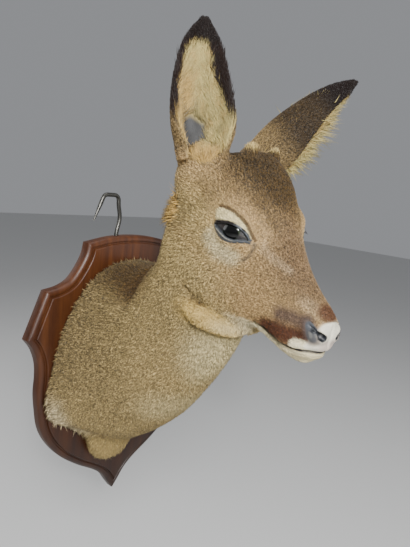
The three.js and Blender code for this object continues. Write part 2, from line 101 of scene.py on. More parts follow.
def taperedRod(p, a, b, radiusA, radiusB):
    a, b = np.asarray(a, float), np.asarray(b, float)
    ab = b - a
    t = np.clip(((p - a) @ ab) / (ab @ ab), 0, 1)
    return np.linalg.norm(p - a - t[:, None] * ab, axis=1) - (radiusA + (radiusB - radiusA) * t)


def between(x, stations):  # a smooth curve through {place: values} that doesn't overshoot
    xs = np.array(sorted(stations), float)
    ys = np.array([np.atleast_1d(stations[k]) for k in sorted(stations)], float)
    h = np.diff(xs)[:, None]
    d = np.diff(ys, axis=0) / h
    m = np.zeros_like(ys)
    m[0], m[-1] = d[0], d[-1]
    same = d[:-1] * d[1:] > 0
    with np.errstate(divide="ignore", invalid="ignore"):
        inner = 3 * (h[:-1] + h[1:]) / ((2 * h[1:] + h[:-1]) / d[:-1] + (h[1:] + 2 * h[:-1]) / d[1:])
    m[1:-1] = np.where(same, inner, 0)
    x = np.clip(x, xs[0], xs[-1])
    i = np.clip(np.searchsorted(xs, x) - 1, 0, len(xs) - 2)
    t = ((x - xs[i]) / h[i, 0])[:, None]
    out = (1 + 2 * t) * (1 - t) ** 2 * ys[i] + t * (1 - t) ** 2 * h[i] * m[i]
    out += t * t * (3 - 2 * t) * ys[i + 1] + t * t * (t - 1) * h[i] * m[i + 1]
    return out.T if out.shape[1] > 1 else out[:, 0]


head = {
    "place": (-29.1, -205.1, 178.7), "yaw": -6.4, "pitch": -22.2, "roll": -0.5,
    "stations": {  # along the head: top, bottom, half width, level of the width
        -94: (10, -42, 31, -8),
        -74: (33, -52, 39.5, -6),
        -54: (46, -57, 39, -8),
        -34: (54, -63, 39, -10),
        -14: (48, -68, 37, -12),
        4: (31, -70, 34, -14),
        22: (13.5, -70, 27, -22),
        42: (-0.5, -70.5, 20.5, -30),
        62: (-10.8, -71, 16.5, -36),
        78: (-16.5, -66.5, 14.5, -40),
        90: (-21, -60.5, 12, -43),
        100: (-25.5, -52.5, 9, -42),
    },
    "power": {"width": (2.2, 2.0), "height": (2.3, 2.0)},  # above and below the widest level
    "ends": ((-90, 24), (95, 12)),  # where the head is rounded off, and how far it blends
    "lumps": {  # on both sides: centre, radii and blend, or a rod's two ends and radii
        "brow": {"at": (-9.5, 29, 8.5), "radii": (18, 11, 12), "blend": 8},
        "orbit": {"at": (-5.5, 26.5, -3.5), "radii": (17.5, 15.6, 15.4), "blend": 5},
        "cheekbone": {"at": (12, 21, -20), "to": (-45, 32, -16), "radii": (6, 8), "blend": 12},
        "jawMuscle": {"at": (-22, 21, -42), "radii": (31, 15, 26), "blend": 10},
        "antlerBump": {"at": (-37, 13.5, 46.5), "radii": (7, 6.5, 10.5), "blend": 5},
        "nostrilWing": {"at": (84, 9, -35), "radii": (10, 8, 8), "blend": 5},
        "upperLip": {"at": (68, 11, -50), "radii": (19, 7, 8), "blend": 6},
        "earFoot": {"at": (-66, 33, 18), "radii": (20, 17, 26), "blend": 14},
    },
    "chin": {"at": (72, 0, -60), "radii": (14, 10, 6), "blend": 5},
    "mouth": {  # level of the lips' line
        30: -63.5, 37: -61.8, 48: -60.9, 60: -59.6, 73: -56.2, 82: -52.4, 88: -49.4, 96: -47.5,
    },
    "lips": {  # depth, level over the line, width: the line itself, then both lips
        "from": (33, 40), "rolls": ((2.6, 0.0, 1.0), (-1.1, 4.2, 2.6), (-0.7, -4.5, 2.6)),
    },
}
eye = {
    "centre": (-5.5, 26.5, -3.5), "radius": 14.0,
    "lidShell": (20.0, 15.4, 15.4), "floor": (19.2, 13.4, 12.9),
    "ends": (-17.0, 15.6),
    "opening": {  # along the eye, to the nose: upper and lower edge
        -17.0: (-3.2, -3.8),
        -14.0: (-0.4, -4.2),
        -11.0: (1.7, -4.3),
        -7.0: (4.0, -4.6),
        -1.5: (6.2, -5.1),
        4.0: (7.0, -4.2),
        9.0: (6.3, -2.0),
        12.0: (5.0, -0.5),
        15.6: (2.0, 1.0),
    },
    "lowerLid": {-17: 1.5, -8: 4.6, -3: 3.8, 2: 3.0, 8: 2.4, 16: 1.6},  # its bare width
}


def headAxes():
    y, p, r = (math.radians(head[k]) for k in ("yaw", "pitch", "roll"))
    forward = np.array([math.sin(y) * math.cos(p), -math.cos(y) * math.cos(p), math.sin(p)])
    level = unit(np.cross([0, 0, 1], forward))
    top = np.cross(forward, level)
    left = math.cos(r) * level + math.sin(r) * top
    return np.stack([forward, left, np.cross(forward, left)])


headTurn = headAxes()
headPlace = np.array(head["place"])


def toHead(p):
    return (p - headPlace) @ headTurn.T


def fromHead(q):
    return headPlace + np.asarray(q, float) @ headTurn


def headLoft(q):
    top, bottom, width, level = between(q[:, 0], head["stations"])
    high = q[:, 2] > level
    reach = np.where(high, top - level, level - bottom)
    v = np.abs(q[:, 2] - level) / reach
    u = np.abs(q[:, 1]) / width
    s = u ** np.where(high, *head["power"]["width"]) + v ** np.where(high, *head["power"]["height"])
    f = (np.sqrt(s) - 1) * np.minimum(width, reach) * 0.9
    (back, backBlend), (front, frontBlend) = head["ends"]
    f = -smoothUnion(-f, front - q[:, 0], frontBlend)
    return -smoothUnion(-f, q[:, 0] - back, backBlend)


def eyeAxes(side):  # rows: along the opening to the nose, up, outward
    out = unit([0.30, side * 0.95, 0.06])
    along = np.array([0.93, -side * 0.30, -0.06])
    along = unit(along - out * (along @ out))
    upward = np.cross(out, along)
    if upward[2] < 0:
        upward = -upward
    return np.stack([along, upward, out])


def inEye(q, side):
    return (q - np.array(eye["centre"]) * [1, side, 1]) @ eyeAxes(side).T


def lidEdge(l):  # how far outside the lids' opening, across it
    upper, lower = between(l[:, 0], eye["opening"])
    after, before = between(l[:, 0] + 0.5, eye["opening"]), between(l[:, 0] - 0.5, eye["opening"])
    steep = np.sqrt(1 + (after - before) ** 2)
    f = np.maximum((l[:, 1] - upper) / steep[0], (lower - l[:, 1]) / steep[1])
    return np.maximum(f, np.maximum(eye["ends"][0] - l[:, 0], l[:, 0] - eye["ends"][1]))


def lumpField(q, lump, side=1):
    mirror = np.array([1, side, 1])
    if "to" in lump:
        return taperedRod(q, np.array(lump["at"]) * mirror, np.array(lump["to"]) * mirror, *lump["radii"])
    return ellipsoid(q, np.array(lump["at"]) * mirror, lump["radii"])


def headField(q):
    f = headLoft(q)
    for side in (-1, 1):
        for lump in head["lumps"].values():
            f = smoothUnion(f, lumpField(q, lump, side), lump["blend"])
    return smoothUnion(f, lumpField(q, head["chin"]), head["chin"]["blend"])


neck = {
    "pivot": (0.0, 236.0), "back": -13.9,
    "stations": {  # turn: nape radius, throat radius, half width, middle, level share
        -8: (112, 336, 99, 0, 0.70),
        6: (112, 314, 88, -2, 0.66),
        18: (116, 288, 68, -6, 0.56),
        32: (126, 263, 50, -16, 0.48),
        46: (134, 245, 45.5, -24, 0.44),
        60: (129, 229, 45.5, -31, 0.45),
        76: (122, 215, 42, -35, 0.48),
    },
    "flare": {  # how far the hide spreads on the board, by height
        -80: -0.18, -63: -0.18, -52: -0.1, -42: 0.03, -33: 0.09, -18: 0.09, 0: 0.06,
        33: 0.05, 90: 0.045, 104: 0.07, 125: 0.04,
    },
}


def neckPlace(p):  # radius and turn about the pivot above the nape
    dy, dz = p[:, 1] - neck["pivot"][0], p[:, 2] - neck["pivot"][1]
    return np.hypot(dy, dz), np.arctan2(-dy, -dz)


def neckField(p):
    r, turn = neckPlace(p)
    inner, outer, width, middle, share = between(np.degrees(turn), neck["stations"])
    width = width * (1 + between(p[:, 2], neck["flare"]) * step(16, 5, np.degrees(turn)))
    level = inner + (outer - inner) * share
    low = r > level
    reach = np.where(low, outer - level, level - inner)
    u = np.abs(p[:, 0] - middle) / width
    v = np.abs(r - level) / reach
    s = np.sqrt(u ** 2.15 + v ** np.where(low, 1.95, 2.2) + 1e-9)
    f = (s - 1) * np.minimum(width, reach) * 0.92
    end = (turn - math.radians(66)) * r
    return np.maximum(-smoothUnion(-f, -end, 24), (math.radians(-12) - turn) * r)


ears = {
    "thickness": 3.0,
    "right": {"root": (-65, -36.5, 28), "tip": (0.0, 0.075, 1.0), "face": (-0.45, -0.85, 0.0),
              "length": 109.0, "spread": 1.0},
    "left": {"root": (-66, 27, 28), "tip": (0.51, -0.50, 0.70), "face": (0.81, 0.0, -0.59),
             "length": 113.0, "spread": 0.8},
    "stations": {  # share of the length: curl radius, half angle, bend to the back
        0.0: (17, 122, 0),
        0.10: (20, 114, 0),
        0.22: (23.5, 100, -2),
        0.36: (25, 86, -3),
        0.52: (25, 68, -2),
        0.70: (25, 49, 1),
        0.84: (24.5, 35, 5),
        0.94: (23.5, 19, 9),
        1.0: (22.5, 5, 12),
    },
    "ahead": 15.0,  # from the root to the leaf's middle layer
    "hollow": {"ends": ((0.06, 7.0), (0.4, 9.0)), "radii": (10.0, 19.0)},
}


def earAxes(name):
    e = ears[name]
    along = unit(e["tip"])
    face = np.array(e["face"], float)
    face = unit(face - along * (face @ along))
    return fromHead(e["root"]), along, np.cross(along, face), face


def inEar(p, name):  # share of the length, angle round the leaf, height over its middle layer, half angle
    root, along, across, face = earAxes(name)
    r = p - root
    a = (r @ along) / ears[name]["length"]
    curl, half, bend = between(a, ears["stations"])
    half = half * ears[name]["spread"]
    b, c = r @ across, r @ face + ears["ahead"] - bend - curl
    return a, np.arctan2(b, -c), np.hypot(b, c) - curl, np.radians(half), curl


def earField(p, name):
    a, angle, height, half, curl = inEar(p, name)
    ripple = 0.9 * np.sin(angle * 9 + a * 7) * step(0.15, 0.3, a) * (1 - step(0.8, 1, a))
    over = np.maximum(0, np.abs(angle) - half) * np.minimum(height + curl, curl)
    beyond = np.maximum(0, np.maximum(-a, a - 1)) * ears[name]["length"]
    return np.sqrt((height + ripple * (height < 0)) ** 2 + over ** 2 + beyond ** 2) - ears["thickness"] / 2


def earHollow(p, name):  # keeps the cup open down to its floor
    root, along, _, face = earAxes(name)
    ends = []
    for share, ahead in ears["hollow"]["ends"]:
        curl, _, bend = between(np.array([share]), ears["stations"])[:, 0]
        forward = bend + curl - ears["ahead"] + ahead
        ends.append(root + along * share * ears[name]["length"] + face * forward)
    return taperedRod(p, *ends, *ears["hollow"]["radii"])


folds = {  # lines on one side of the head, their width and depth
    "brow": ([(-22, 38, 8), (-16, 38.3, 10.6), (-7, 38.4, 11.8), (1, 36.5, 10.6), (6, 33.7, 8.3),
              (10.5, 31, 4), (14.5, 27.5, -0.5)], 1.4, 1.7),
    "tearDuct": ([(15.5, 27.6, -3.5), (16, 27.4, -8.1), (16.4, 28.2, -12.4), (14.2, 30.2, -16.8)],
                 1.2, 1.4),
    "cheek": ([(18.5, 25, -5), (24, 22, -7), (32, 19, -11), (44, 16, -15)], 2.2, 0.7),
    "jaw": ([(-30, 45, -56), (-12.6, 43.5, -66), (-0.5, 38, -68.5), (10, 28, -74.5), (18, 16, -80.5),
             (23, 3.6, -84.5), (24, 0, -85)], 2.6, 4.6),
}
nose = {
    "nostril": [(80.7, 15.0, -30.6), (86.2, 13.2, -32), (89.8, 10.7, -33.6), (93.6, 8.3, -34.5)],
    "nostrilRadii": {0: 0.6, 0.35: 1.3, 0.75: 2.7, 1: 2.1}, "nostrilBlend": 1.8,
    "groove": (1.2, 1.1),  # depth and width of the line down the middle of the pad
    "wing": [(79, 17, -29), (83.5, 17, -32), (88, 14.5, -37)],
}
jawRoll = {
    "line": [(-16, 40, -79), (3, 37.5, -77.5), (13, 28, -80), (19.5, 16, -83), (23, 4, -85)],
    "radii": {0: 4.5, 0.25: 8.5, 0.55: 6.5, 0.8: 3.5, 1: 0.5}, "blend": 5,
}
withersFold = [(-30, -98, 140), (-40, -86, 124), (-49, -80, 108), (-54, -74, 97), (-60, -68, 84)]
brisketFold = [(-80, -18, -48), (-66, -26, -53), (-54, -34, -56), (-42, -40, -60)]
bodyFolds = ((withersFold, 6, 6.5), (brisketFold, 4, 4))
brisket = {"at": (-19, -20, -75), "radii": (27, 16, 24), "blend": 10}  # its lobe over the board
throatFill = {"at": (11, 0, -80), "radii": (12, 15, 7), "blend": 6}  # between the jaws
hairDepth = {-110: 3.6, -60: 3.0, -30: 2.5, 10: 2.0, 45: 1.4, 75: 0.9, 95: 0.6}  # along the head


def bothSides(q):  # what lies on the animal's right is repeated on its left
    return np.stack([q[:, 0], np.abs(q[:, 1]), q[:, 2]], 1)


def coatDepth(p, q):
    depth = between(q[:, 0], hairDepth)
    depth = np.maximum(depth, 3.2 * step(-72, -100, q[:, 2]))
    bare = blob(bothSides(q), eye["centre"], (26, 26, 24), 0.4)
    return depth * (1 - bare) + 0.9 * bare


def faceDetails(f, q):  # folds, the roll under the jaw, lips and nose
    sides = bothSides(q)
    d, share = lineDistance(sides, jawRoll["line"])
    f = smoothUnion(f, d - between(share, jawRoll["radii"]), jawRoll["blend"])
    lips = between(q[:, 0], head["mouth"])
    front = step(*head["lips"]["from"], q[:, 0])
    for deep, level, wide in head["lips"]["rolls"]:
        f = f + deep * np.exp(-((q[:, 2] - lips - level) / wide) ** 2) * front
    deep, wide = nose["groove"]
    line = deep * np.exp(-(q[:, 1] / wide) ** 2)
    f = f + line * step(88, 93, q[:, 0]) * step(-50, -46, q[:, 2]) * step(-24, -28, q[:, 2])
    d, share = lineDistance(sides, nose["nostril"])
    return smoothCut(f, d - between(share, nose["nostrilRadii"]), nose["nostrilBlend"])


def eyeOpening(f, q, side):  # the lids round the ball, their rolled edges and the opening between them
    l = inEye(q, side)
    lid = ellipsoid(l, (0, 0, 0), eye["lidShell"])
    f = smoothUnion(f, lid, 2.5)
    edge = lidEdge(l)
    rim = np.hypot(edge, lid - 0.1) - 0.8
    f = np.where((l[:, 2] > 1) & (edge < 6), smoothUnion(f, rim, 1.2), f)
    opening = np.maximum(edge + 0.5, 3 - l[:, 2])
    return smoothCut(f, np.maximum(opening, -ellipsoid(l, (0, 0, 0), eye["floor"])), 0.7)


def hideField(p):
    q = toHead(p)
    f = smoothUnion(headField(q), neckField(p), 22)
    f = smoothUnion(f, lumpField(p, brisket), brisket["blend"])
    f = f + coatDepth(p, q)
    for points, width, depth in folds.values():
        f = f + groove(bothSides(q), points, width, depth)
    for points, width, depth in bodyFolds:
        f = f + groove(p, points, width, depth)
    f = smoothUnion(f, lumpField(q, throatFill), throatFill["blend"])
    f = faceDetails(f, q)
    for name in ("right", "left"):
        f = smoothUnion(f, earField(p, name), 6)
        f = smoothCut(f, earHollow(p, name), 4)
    for side in (-1, 1):
        f = eyeOpening(f, q, side)
    return np.maximum(f, p[:, 1] - neck["back"] + 0.2)


grid = {
    "fine": 1.45, "coarse": 3.4, "block": 4, "batch": 300000,
    "spans": ((-128, 128, -98, 92), (-322, -4, -300, -118), (-126, 350, 118, 345)),  # whole and fine part
    "splits": (1.1, 0.75),  # longest edges left near the eyes and the nose
}
octant = [(i, j, k) for i in (0, 1) for j in (0, 1) for k in (0, 1)]


def gridLines(low, high, fineLow, fineHigh):
    xs = [low]
    while xs[-1] < high:
        xs.append(xs[-1] + (grid["fine"] if fineLow <= xs[-1] < fineHigh else grid["coarse"]))
    extra = (-(len(xs) - 1)) % grid["block"]
    return np.array(xs + [xs[-1] + grid["coarse"] * (i + 1) for i in range(extra)])


def blockUp(values):
    for axis in range(3):
        values = np.repeat(values, grid["block"], axis)
    return values


def sampleField(lines):
    coarseLines = [line[::grid["block"]] for line in lines]
    coarse = np.stack(np.meshgrid(*coarseLines, indexing="ij"), -1).reshape(-1, 3)
    coarse = hideField(coarse).reshape([len(line) for line in coarseLines])
    nx, ny, nz = (len(line) - 1 for line in coarseLines)
    corners = np.stack([coarse[i:nx + i, j:ny + j, k:nz + k] for i, j, k in octant])
    dx, dy, dz = (np.diff(line) for line in coarseLines)
    size = np.sqrt(dx[:, None, None] ** 2 + dy[None, :, None] ** 2 + dz[None, None, :] ** 2)
    active = (corners.min(0) < 0) & (corners.max(0) > 0) | (np.abs(corners).min(0) < size * 1.2)
    values = blockUp(coarse)[:len(lines[0]), :len(lines[1]), :len(lines[2])].astype(np.float32)
    near = np.zeros(values.shape, bool)
    act = blockUp(active)
    for i, j, k in octant:
        near[i:i + act.shape[0], j:j + act.shape[1], k:k + act.shape[2]] |= act
    where = np.argwhere(near)
    points = np.stack([lines[n][where[:, n]] for n in range(3)], 1)
    batch = grid["batch"]
    values[near] = np.concatenate([hideField(points[n:n + batch]) for n in range(0, len(points), batch)])
    return values


def netPoints(values, lines, cells):  # the middle of the places where a cell's edges cross the surface
    total, hits = np.zeros((len(cells), 3)), np.zeros(len(cells))
    for a in octant:
        for axis in range(3):
            if a[axis]:
                continue
            b = list(a)
            b[axis] = 1
            ia, ib = cells + a, cells + b
            fa, fb = values[tuple(ia.T)].astype(float), values[tuple(ib.T)].astype(float)
            m = (fa < 0) != (fb < 0)
            t = np.where(m, fa / np.where(m, fa - fb, 1), 0)[:, None]
            pa = np.stack([lines[n][ia[:, n]] for n in range(3)], 1)
            pb = np.stack([lines[n][ib[:, n]] for n in range(3)], 1)
            total[m] += (pa + t * (pb - pa))[m]
            hits[m] += 1
    return total / hits[:, None]


def netMesh(values, lines):  # one vertex in each cell that the surface crosses
    inside = values < 0
    nx, ny, nz = values.shape
    count = sum(inside[i:nx - 1 + i, j:ny - 1 + j, k:nz - 1 + k].astype(np.int8) for i, j, k in octant)
    active = (count > 0) & (count < 8)
    cells = np.argwhere(active)
    index = np.full(active.shape, -1, np.int64)
    index[active] = np.arange(len(cells))
    quads = []
    for axis in range(3):
        o1, o2 = [n for n in range(3) if n != axis]
        lower, upper = [slice(None)] * 3, [slice(None)] * 3
        lower[axis], upper[axis] = slice(0, -1), slice(1, None)
        a, b = inside[tuple(lower)], inside[tuple(upper)]
        e = np.argwhere(a != b)
        for o in (o1, o2):
            e = e[(e[:, o] > 0) & (e[:, o] < values.shape[o] - 1)]
        ring = []
        for d1, d2 in ((-1, -1), (0, -1), (0, 0), (-1, 0)):
            c = e.copy()
            c[:, o1] += d1
            c[:, o2] += d2
            ring.append(index[tuple(c.T)])
        q = np.stack(ring, 1)
        keep = a[tuple(e.T)] if axis != 1 else ~a[tuple(e.T)]
        q[~keep] = q[~keep][:, ::-1]
        quads.append(q)
    return netPoints(values, lines, cells), np.concatenate(quads)


def slopeOf(field, p, h):
    g = np.zeros_like(p)
    for i in range(3):
        d = np.zeros(3)
        d[i] = h
        g[:, i] = field(p + d) - field(p - d)
    return g


def settle(p, rounds=2, most=1.0, h=0.25):
    for _ in range(rounds):
        g = slopeOf(hideField, p, h) / (2 * h)
        move = -hideField(p)[:, None] * g / np.maximum(np.sum(g * g, 1), 0.1)[:, None]
        size = np.linalg.norm(move, axis=1)
        p = p + move * (np.minimum(size, most) / np.maximum(size, 1e-9))[:, None]
    return p


def triangles(quads, points):
    a, b, c, d = quads.T
    short = np.linalg.norm(points[a] - points[c], axis=1) <= np.linalg.norm(points[b] - points[d], axis=1)
    one = np.where(short[:, None], np.stack([a, b, c], 1), np.stack([a, b, d], 1))
    two = np.where(short[:, None], np.stack([a, c, d], 1), np.stack([b, c, d], 1))
    return np.concatenate([one, two])


def refine(points, faces, chosen):  # splits the chosen faces in four and closes their neighbours
    edges = np.sort(np.concatenate([faces[:, [0, 1]], faces[:, [1, 2]], faces[:, [2, 0]]]), 1)
    key = edges[:, 0] * len(points) + edges[:, 1]
    unique, inverse = np.unique(key, return_inverse=True)
    inverse = inverse.reshape(3, -1).T
    marked = np.zeros(len(unique), bool)
    marked[inverse[chosen].ravel()] = True
    while True:  # a face with two split edges has all three split
        more = marked[inverse].sum(1) == 2
        if not more.any():
            break
        marked[inverse[more].ravel()] = True
    new = np.full(len(unique), -1)
    new[marked] = len(points) + np.arange(marked.sum())
    a, b = unique[marked] // len(points), unique[marked] % len(points)
    points = np.concatenate([points, (points[a] + points[b]) / 2])
    m = new[inverse]
    many = (m >= 0).sum(1)
    f, n = faces[many == 3].T, m[many == 3].T
    out = [faces[many == 0]]
    for tri in ((f[0], n[0], n[2]), (f[1], n[1], n[0]), (f[2], n[2], n[1]), n):
        out.append(np.stack(tri, 1))
    for e in range(3):
        pick = (many == 1) & (m[:, e] >= 0)
        f, n = faces[pick], m[pick][:, e]
        a, b, c = f[:, e], f[:, (e + 1) % 3], f[:, (e + 2) % 3]
        out += [np.stack([a, n, c], 1), np.stack([n, b, c], 1)]
    return points, np.concatenate(out), marked.sum()


def refineNear(points, faces, most):  # the finest faces lie where the face's detail is
    q = bothSides(toHead(points[faces].mean(1)))
    chosen = blob(q, eye["centre"], (25, 15, 20), 0.1) > 0.5
    chosen |= blob(q, (88, 8, -34), (17, 15, 15), 0.1) > 0.5
    lips = between(q[:, 0], head["mouth"])
    chosen |= (q[:, 0] > 32) & (np.abs(q[:, 2] - lips) < 3.5)
    corners = points[faces]
    longest = np.linalg.norm(corners - np.roll(corners, 1, axis=1), axis=2).max(1)
    return refine(points, faces, chosen & (longest > most))


def buildHide():
    lines = [gridLines(*span) for span in grid["spans"]]
    values = sampleField(lines)
    points, quads = netMesh(values, lines)
    points = settle(points)
    faces = triangles(quads, points)
    for most in grid["splits"]:
        points, faces, count = refineNear(points, faces, most)
        points[-count:] = settle(points[-count:], 2, 0.5)
    return lines, values, points, faces


hideLines, hideValues, hidePoints, hideFaces = buildHide()
print("hide:", len(hidePoints), "points,", len(hideFaces), "faces")


def sample(p):  # the field between the grid's points
    at, share = [], []
    for n in range(3):
        x = hideLines[n]
        i = np.clip(np.searchsorted(x, p[:, n]) - 1, 0, len(x) - 2)
        at.append(i)
        share.append(np.clip((p[:, n] - x[i]) / (x[i + 1] - x[i]), 0, 1))
    out = np.zeros(len(p))
    for corner in octant:
        weight = 1.0
        for s, hit in zip(share, corner):
            weight = weight * (s if hit else 1 - s)
        out += weight * hideValues[tuple(i + hit for i, hit in zip(at, corner))]
    return out


def sampleSlope(p, h=0.8):
    return unitRows(slopeOf(sample, p, h))


def atHeight(p, height, rounds=2):  # moved off the skin to a given height
    for _ in range(rounds):
        miss = np.clip(sample(p) - height, -3, 3)
        p = p - sampleSlope(p) * miss[:, None]
    return p


# Colours of the coat and the bare skin, as seen on a screen; some of them are painted shade and painted
# highlights
tones = {
    # withers is painted shade for the withers and the body's folds
    "body": (160, 139, 92), "flank": (134, 115, 76), "withers": (78, 56, 28), "throat": (196, 180, 134),
    "chest": (172, 149, 100), "edge": (212, 196, 158), "brisket": (160, 138, 88), "roll": (192, 163, 96),
    "face": (172, 143, 98), "crown": (74, 57, 30), "bridge": (112, 89, 64), "cheek": (180, 157, 104),
    "brow": (220, 205, 155), "underEye": (208, 197, 158), "rust": (88, 55, 36), "lip": (84, 50, 30),
    "mauve": (92, 74, 66), "white": (226, 216, 182), "chin": (212, 200, 162), "streak": (206, 184, 148),
    # nostril is painted shade inside the nostril's opening
    "pad": (200, 195, 176), "padLow": (168, 152, 142), "nostrilRim": (66, 68, 72), "nostril": (18, 21, 26),
    # lidLight is a painted highlight on wet skin
    "mouth": (40, 36, 38), "pedicle": (176, 154, 100), "lid": (56, 60, 64), "lidLight": (168, 166, 152),
    # crease is painted shade for the head's creases
    "lidDark": (30, 24, 22), "crease": (84, 64, 40), "earBack": (60, 47, 29), "earBackLow": (122, 102, 68),
    "earTip": (22, 11, 7), "earRim": (30, 16, 10), "earIn": (184, 168, 110), "earInWarm": (182, 150, 88),
    # earBareLight is a painted highlight on the ear's bare patch
    "earBare": (60, 60, 60), "earBareLight": (172, 166, 148), "nape": (178, 146, 84),
}
tones = {name: paint(*value) for name, value in tones.items()}


def earMasks(p, name):
    a, angle, height, half, _ = inEar(p, name)
    leaf = step(5, 2, earField(p, name)) * step(-0.02, 0.06, a)
    return a, angle, height, half, np.maximum(leaf, step(3.5, 1.5, earHollow(p, name)))


def earPatch(a, angle):  # the bare patch deep in the right ear
    upper = step(0.37, 0.30, a + 0.1 * np.abs(angle + 0.2))
    return step(0.75, 0.6, np.abs(angle + 0.1)) * step(0.0, 0.05, a) * upper


patches = {  # rounded areas of a tone: centre, radii, softness, strength
    "throat": ((-36, -182, 58), (40, 34, 44), 0.5, 1),
    "chest": ((-25, -128, -2), (34, 40, 22), 0.6, 0.55),
    # where the painted shade over the withers lies
    "withers": ((-36, -60, 118), (38, 44, 22), 0.6, 0.85),
    "brisket": ((-22, -24, -74), (42, 24, 26), 0.4, 1),
    "cheek": ((-58, 36, -30), (52, 24, 42), 0.6, 1),
    "crown": ((-20, 0, 38), (60, 32, 34), 0.5, 1),
    "bridge": ((44, 0, -6), (52, 20, 27), 0.6, 0.85),
    "bump": ((-38, 13.5, 58), (7, 6.5, 7), 0.6, 0.6),
    "muzzle": ((74, 10, -22), (11, 6, 5), 0.6, 0.25),
    "overPad": ((84, 0, -20.5), (8.5, 11, 5.5), 0.4, 0.9),
    "padLow": ((97, 4, -41), (9, 6, 5), 0.5, 0.8),
}
strokes = {  # lines that a tone follows: points, outer and inner reach, strength
    "brisketFold": (brisketFold, 6, 1, 0.5),
    "streak": ([(20, 23, -3), (32, 17.5, -7.4), (45, 11.6, -9.4)], 4.5, 1.5, 0.24),
    "brow": ([(-18, 39, 3), (-10.3, 40, 6.5), (-3, 39, 7.5), (4, 37, 5.5), (10.5, 34.5, 1)], 6.5, 3.2, 1),
    "underEye": ([(-17, 39, -16), (-5, 39, -20), (7, 35, -19)], 11, 2, 0.6),
    # browFold and temple carry painted shade
    "browFold": (folds["brow"][0], 2.0, 0.9, 0.9),
    "temple": ([(-34, 37, 8), (-40, 38, 12), (-48, 38, 16)], 9, 2, 0.3),
    "frown": ([(-2, 26, 24), (8, 20, 18), (18, 15, 12)], 5, 1, 0.5),
    "crest": ([(-30, 24, 44), (-24, 8, 50), (-10, 0, 46), (8, 0, 32)], 6, 1, 0.6),
    "mauve": ([(57, 17, -39), (66, 16, -35.5), (77, 14.5, -33)], 10, 2, 0.85),
    "lip": ([(49, 15, -57), (59, 16, -52), (70, 16, -48.5), (82, 15.5, -43)], 11, 3.5, 1),
    "white": ([(80, 16.5, -50), (87, 13.5, -46.5), (95, 5, -45), (95, 0, -45)], 6.0, 3.6, 1),
    "wingMauve": (nose["wing"], 9, 5, 0.7),
    "wingRim": (nose["wing"], 5.5, 2.5, 0.9),
    # painted highlight along the nostril wing
    "wingHighlight": ([(80, 18, -28), (84.5, 17.5, -33), (87, 15.5, -36)], 1.8, 0.8, 0.15),
    "duct": (folds["tearDuct"][0], 2.3, 0.8, 0.5),
    "ductDark": (folds["tearDuct"][0], 1.2, 0.4, 0.5),
}


def patch(name, p):
    centre, radii, soft, strength = patches[name]
    return blob(p, centre, radii, soft) * strength


def stroke(name, p):
    points, outer, inner, strength = strokes[name]
    return step(outer, inner, lineDistance(p, points)[0]) * strength


def markBody(lay, p, turn):
    lay("flank", step(34, 8, turn) * step(-60, 40, p[:, 2]) * 0.8, 1.0)
    lay("chest", step(-70, -120, p[:, 1]) * step(100, 40, p[:, 2]) * 0.8, 0.6)
    lay("throat", patch("throat", p), 0.25)
    lay("throat", patch("chest", p), 0.3)
    # painted shade over the withers and behind the withers fold
    lay("withers", patch("withers", p), 0.8)
    d, share = lineDistance(p, withersFold)
    d = d - 0.35 * (p[:, 1] + 80).clip(-20, 20)  # painted shade, darker behind the crease
    lay("withers", step(16, 2, d) * step(1.05, 0.6, share) * 0.85, 0.6)
    lay("edge", step(-42, -24, p[:, 1]) * step(0, -30, p[:, 2]) * 0.75, 0.3)
    lay("brisket", patch("brisket", p), 0.25)
    # painted shade in the brisket fold
    lay("withers", stroke("brisketFold", p))


def markHead(lay, s, onHead):
    lay("face", onHead, 0.6)
    lay("cheek", onHead * patch("cheek", s), 0.5)
    lay("crown", onHead * patch("crown", s), 1.0)
    lay("bridge", onHead * patch("bridge", s), 0.9)
    lay("streak", stroke("streak", s), 0.7)
    d, share = lineDistance(s, jawRoll["line"])
    lay("roll", step(13, 7, d) * step(-0.1, 0.15, share) * step(1.02, 0.8, share), 0.15)
    lay("brow", stroke("brow", s), 0.15)
    lay("underEye", stroke("underEye", s), 0.35)
    # painted shade in the brow fold, along the jaw's crease and behind the brow fold
    lay("crease", stroke("browFold", s), 0.3)
    d, share = lineDistance(s, folds["jaw"][0])
    lay("crease", step(3.4, 1.2, d) * step(-0.05, 0.3, share) * 0.8, 0.3)
    lay("crease", stroke("temple", s))
    lay("crown", onHead * stroke("frown", s))
    lay("crown", onHead * stroke("crest", s))
    lay("pedicle", patch("bump", s), 0.15)


def markMuzzle(lay, q, s):
    lay("streak", patch("muzzle", s), 0.6)
    lay("rust", patch("overPad", s), 0.5)
    lay("mauve", stroke("mauve", s), 0.3)
    lay("lip", stroke("lip", s), 0.6)
    lips = between(q[:, 0], head["mouth"])
    low = step(1, -1.5, q[:, 2] - lips)
    lay("chin", low * step(8, 34, q[:, 0]) * step(-88, -76, q[:, 2]), 0.15)
    lay("white", stroke("white", s) * (1 - low), 0.0)
    lay("mouth", step(2.0, 0.8, np.abs(q[:, 2] - lips)) * step(32, 40, q[:, 0]), 0, 1)
    padTop = q[:, 2] + 23.8 + 0.032 * q[:, 1] ** 2
    onPad = step(84.8, 86.6, q[:, 0]) * step(0.7, -0.7, padTop) * step(-48.5, -46.5, q[:, 2])
    lay("pad", onPad, 0, 1)
    lay("padLow", onPad * patch("padLow", s))
    d, share = lineDistance(s, nose["nostril"])
    lay("mauve", stroke("wingMauve", s), 0.2)
    lay("nostrilRim", stroke("wingRim", s), 0, 0.8)
    # painted highlight along the nostril wing
    lay("lidLight", stroke("wingHighlight", s))
    lay("nostrilRim", step(3.4, 2.4, d), 0, 1)
    # painted shade: near black inside the nostril's opening
    lay("nostril", step(3.2, 2.4, d) * step(0.12, 0.3, share), 0, 1)


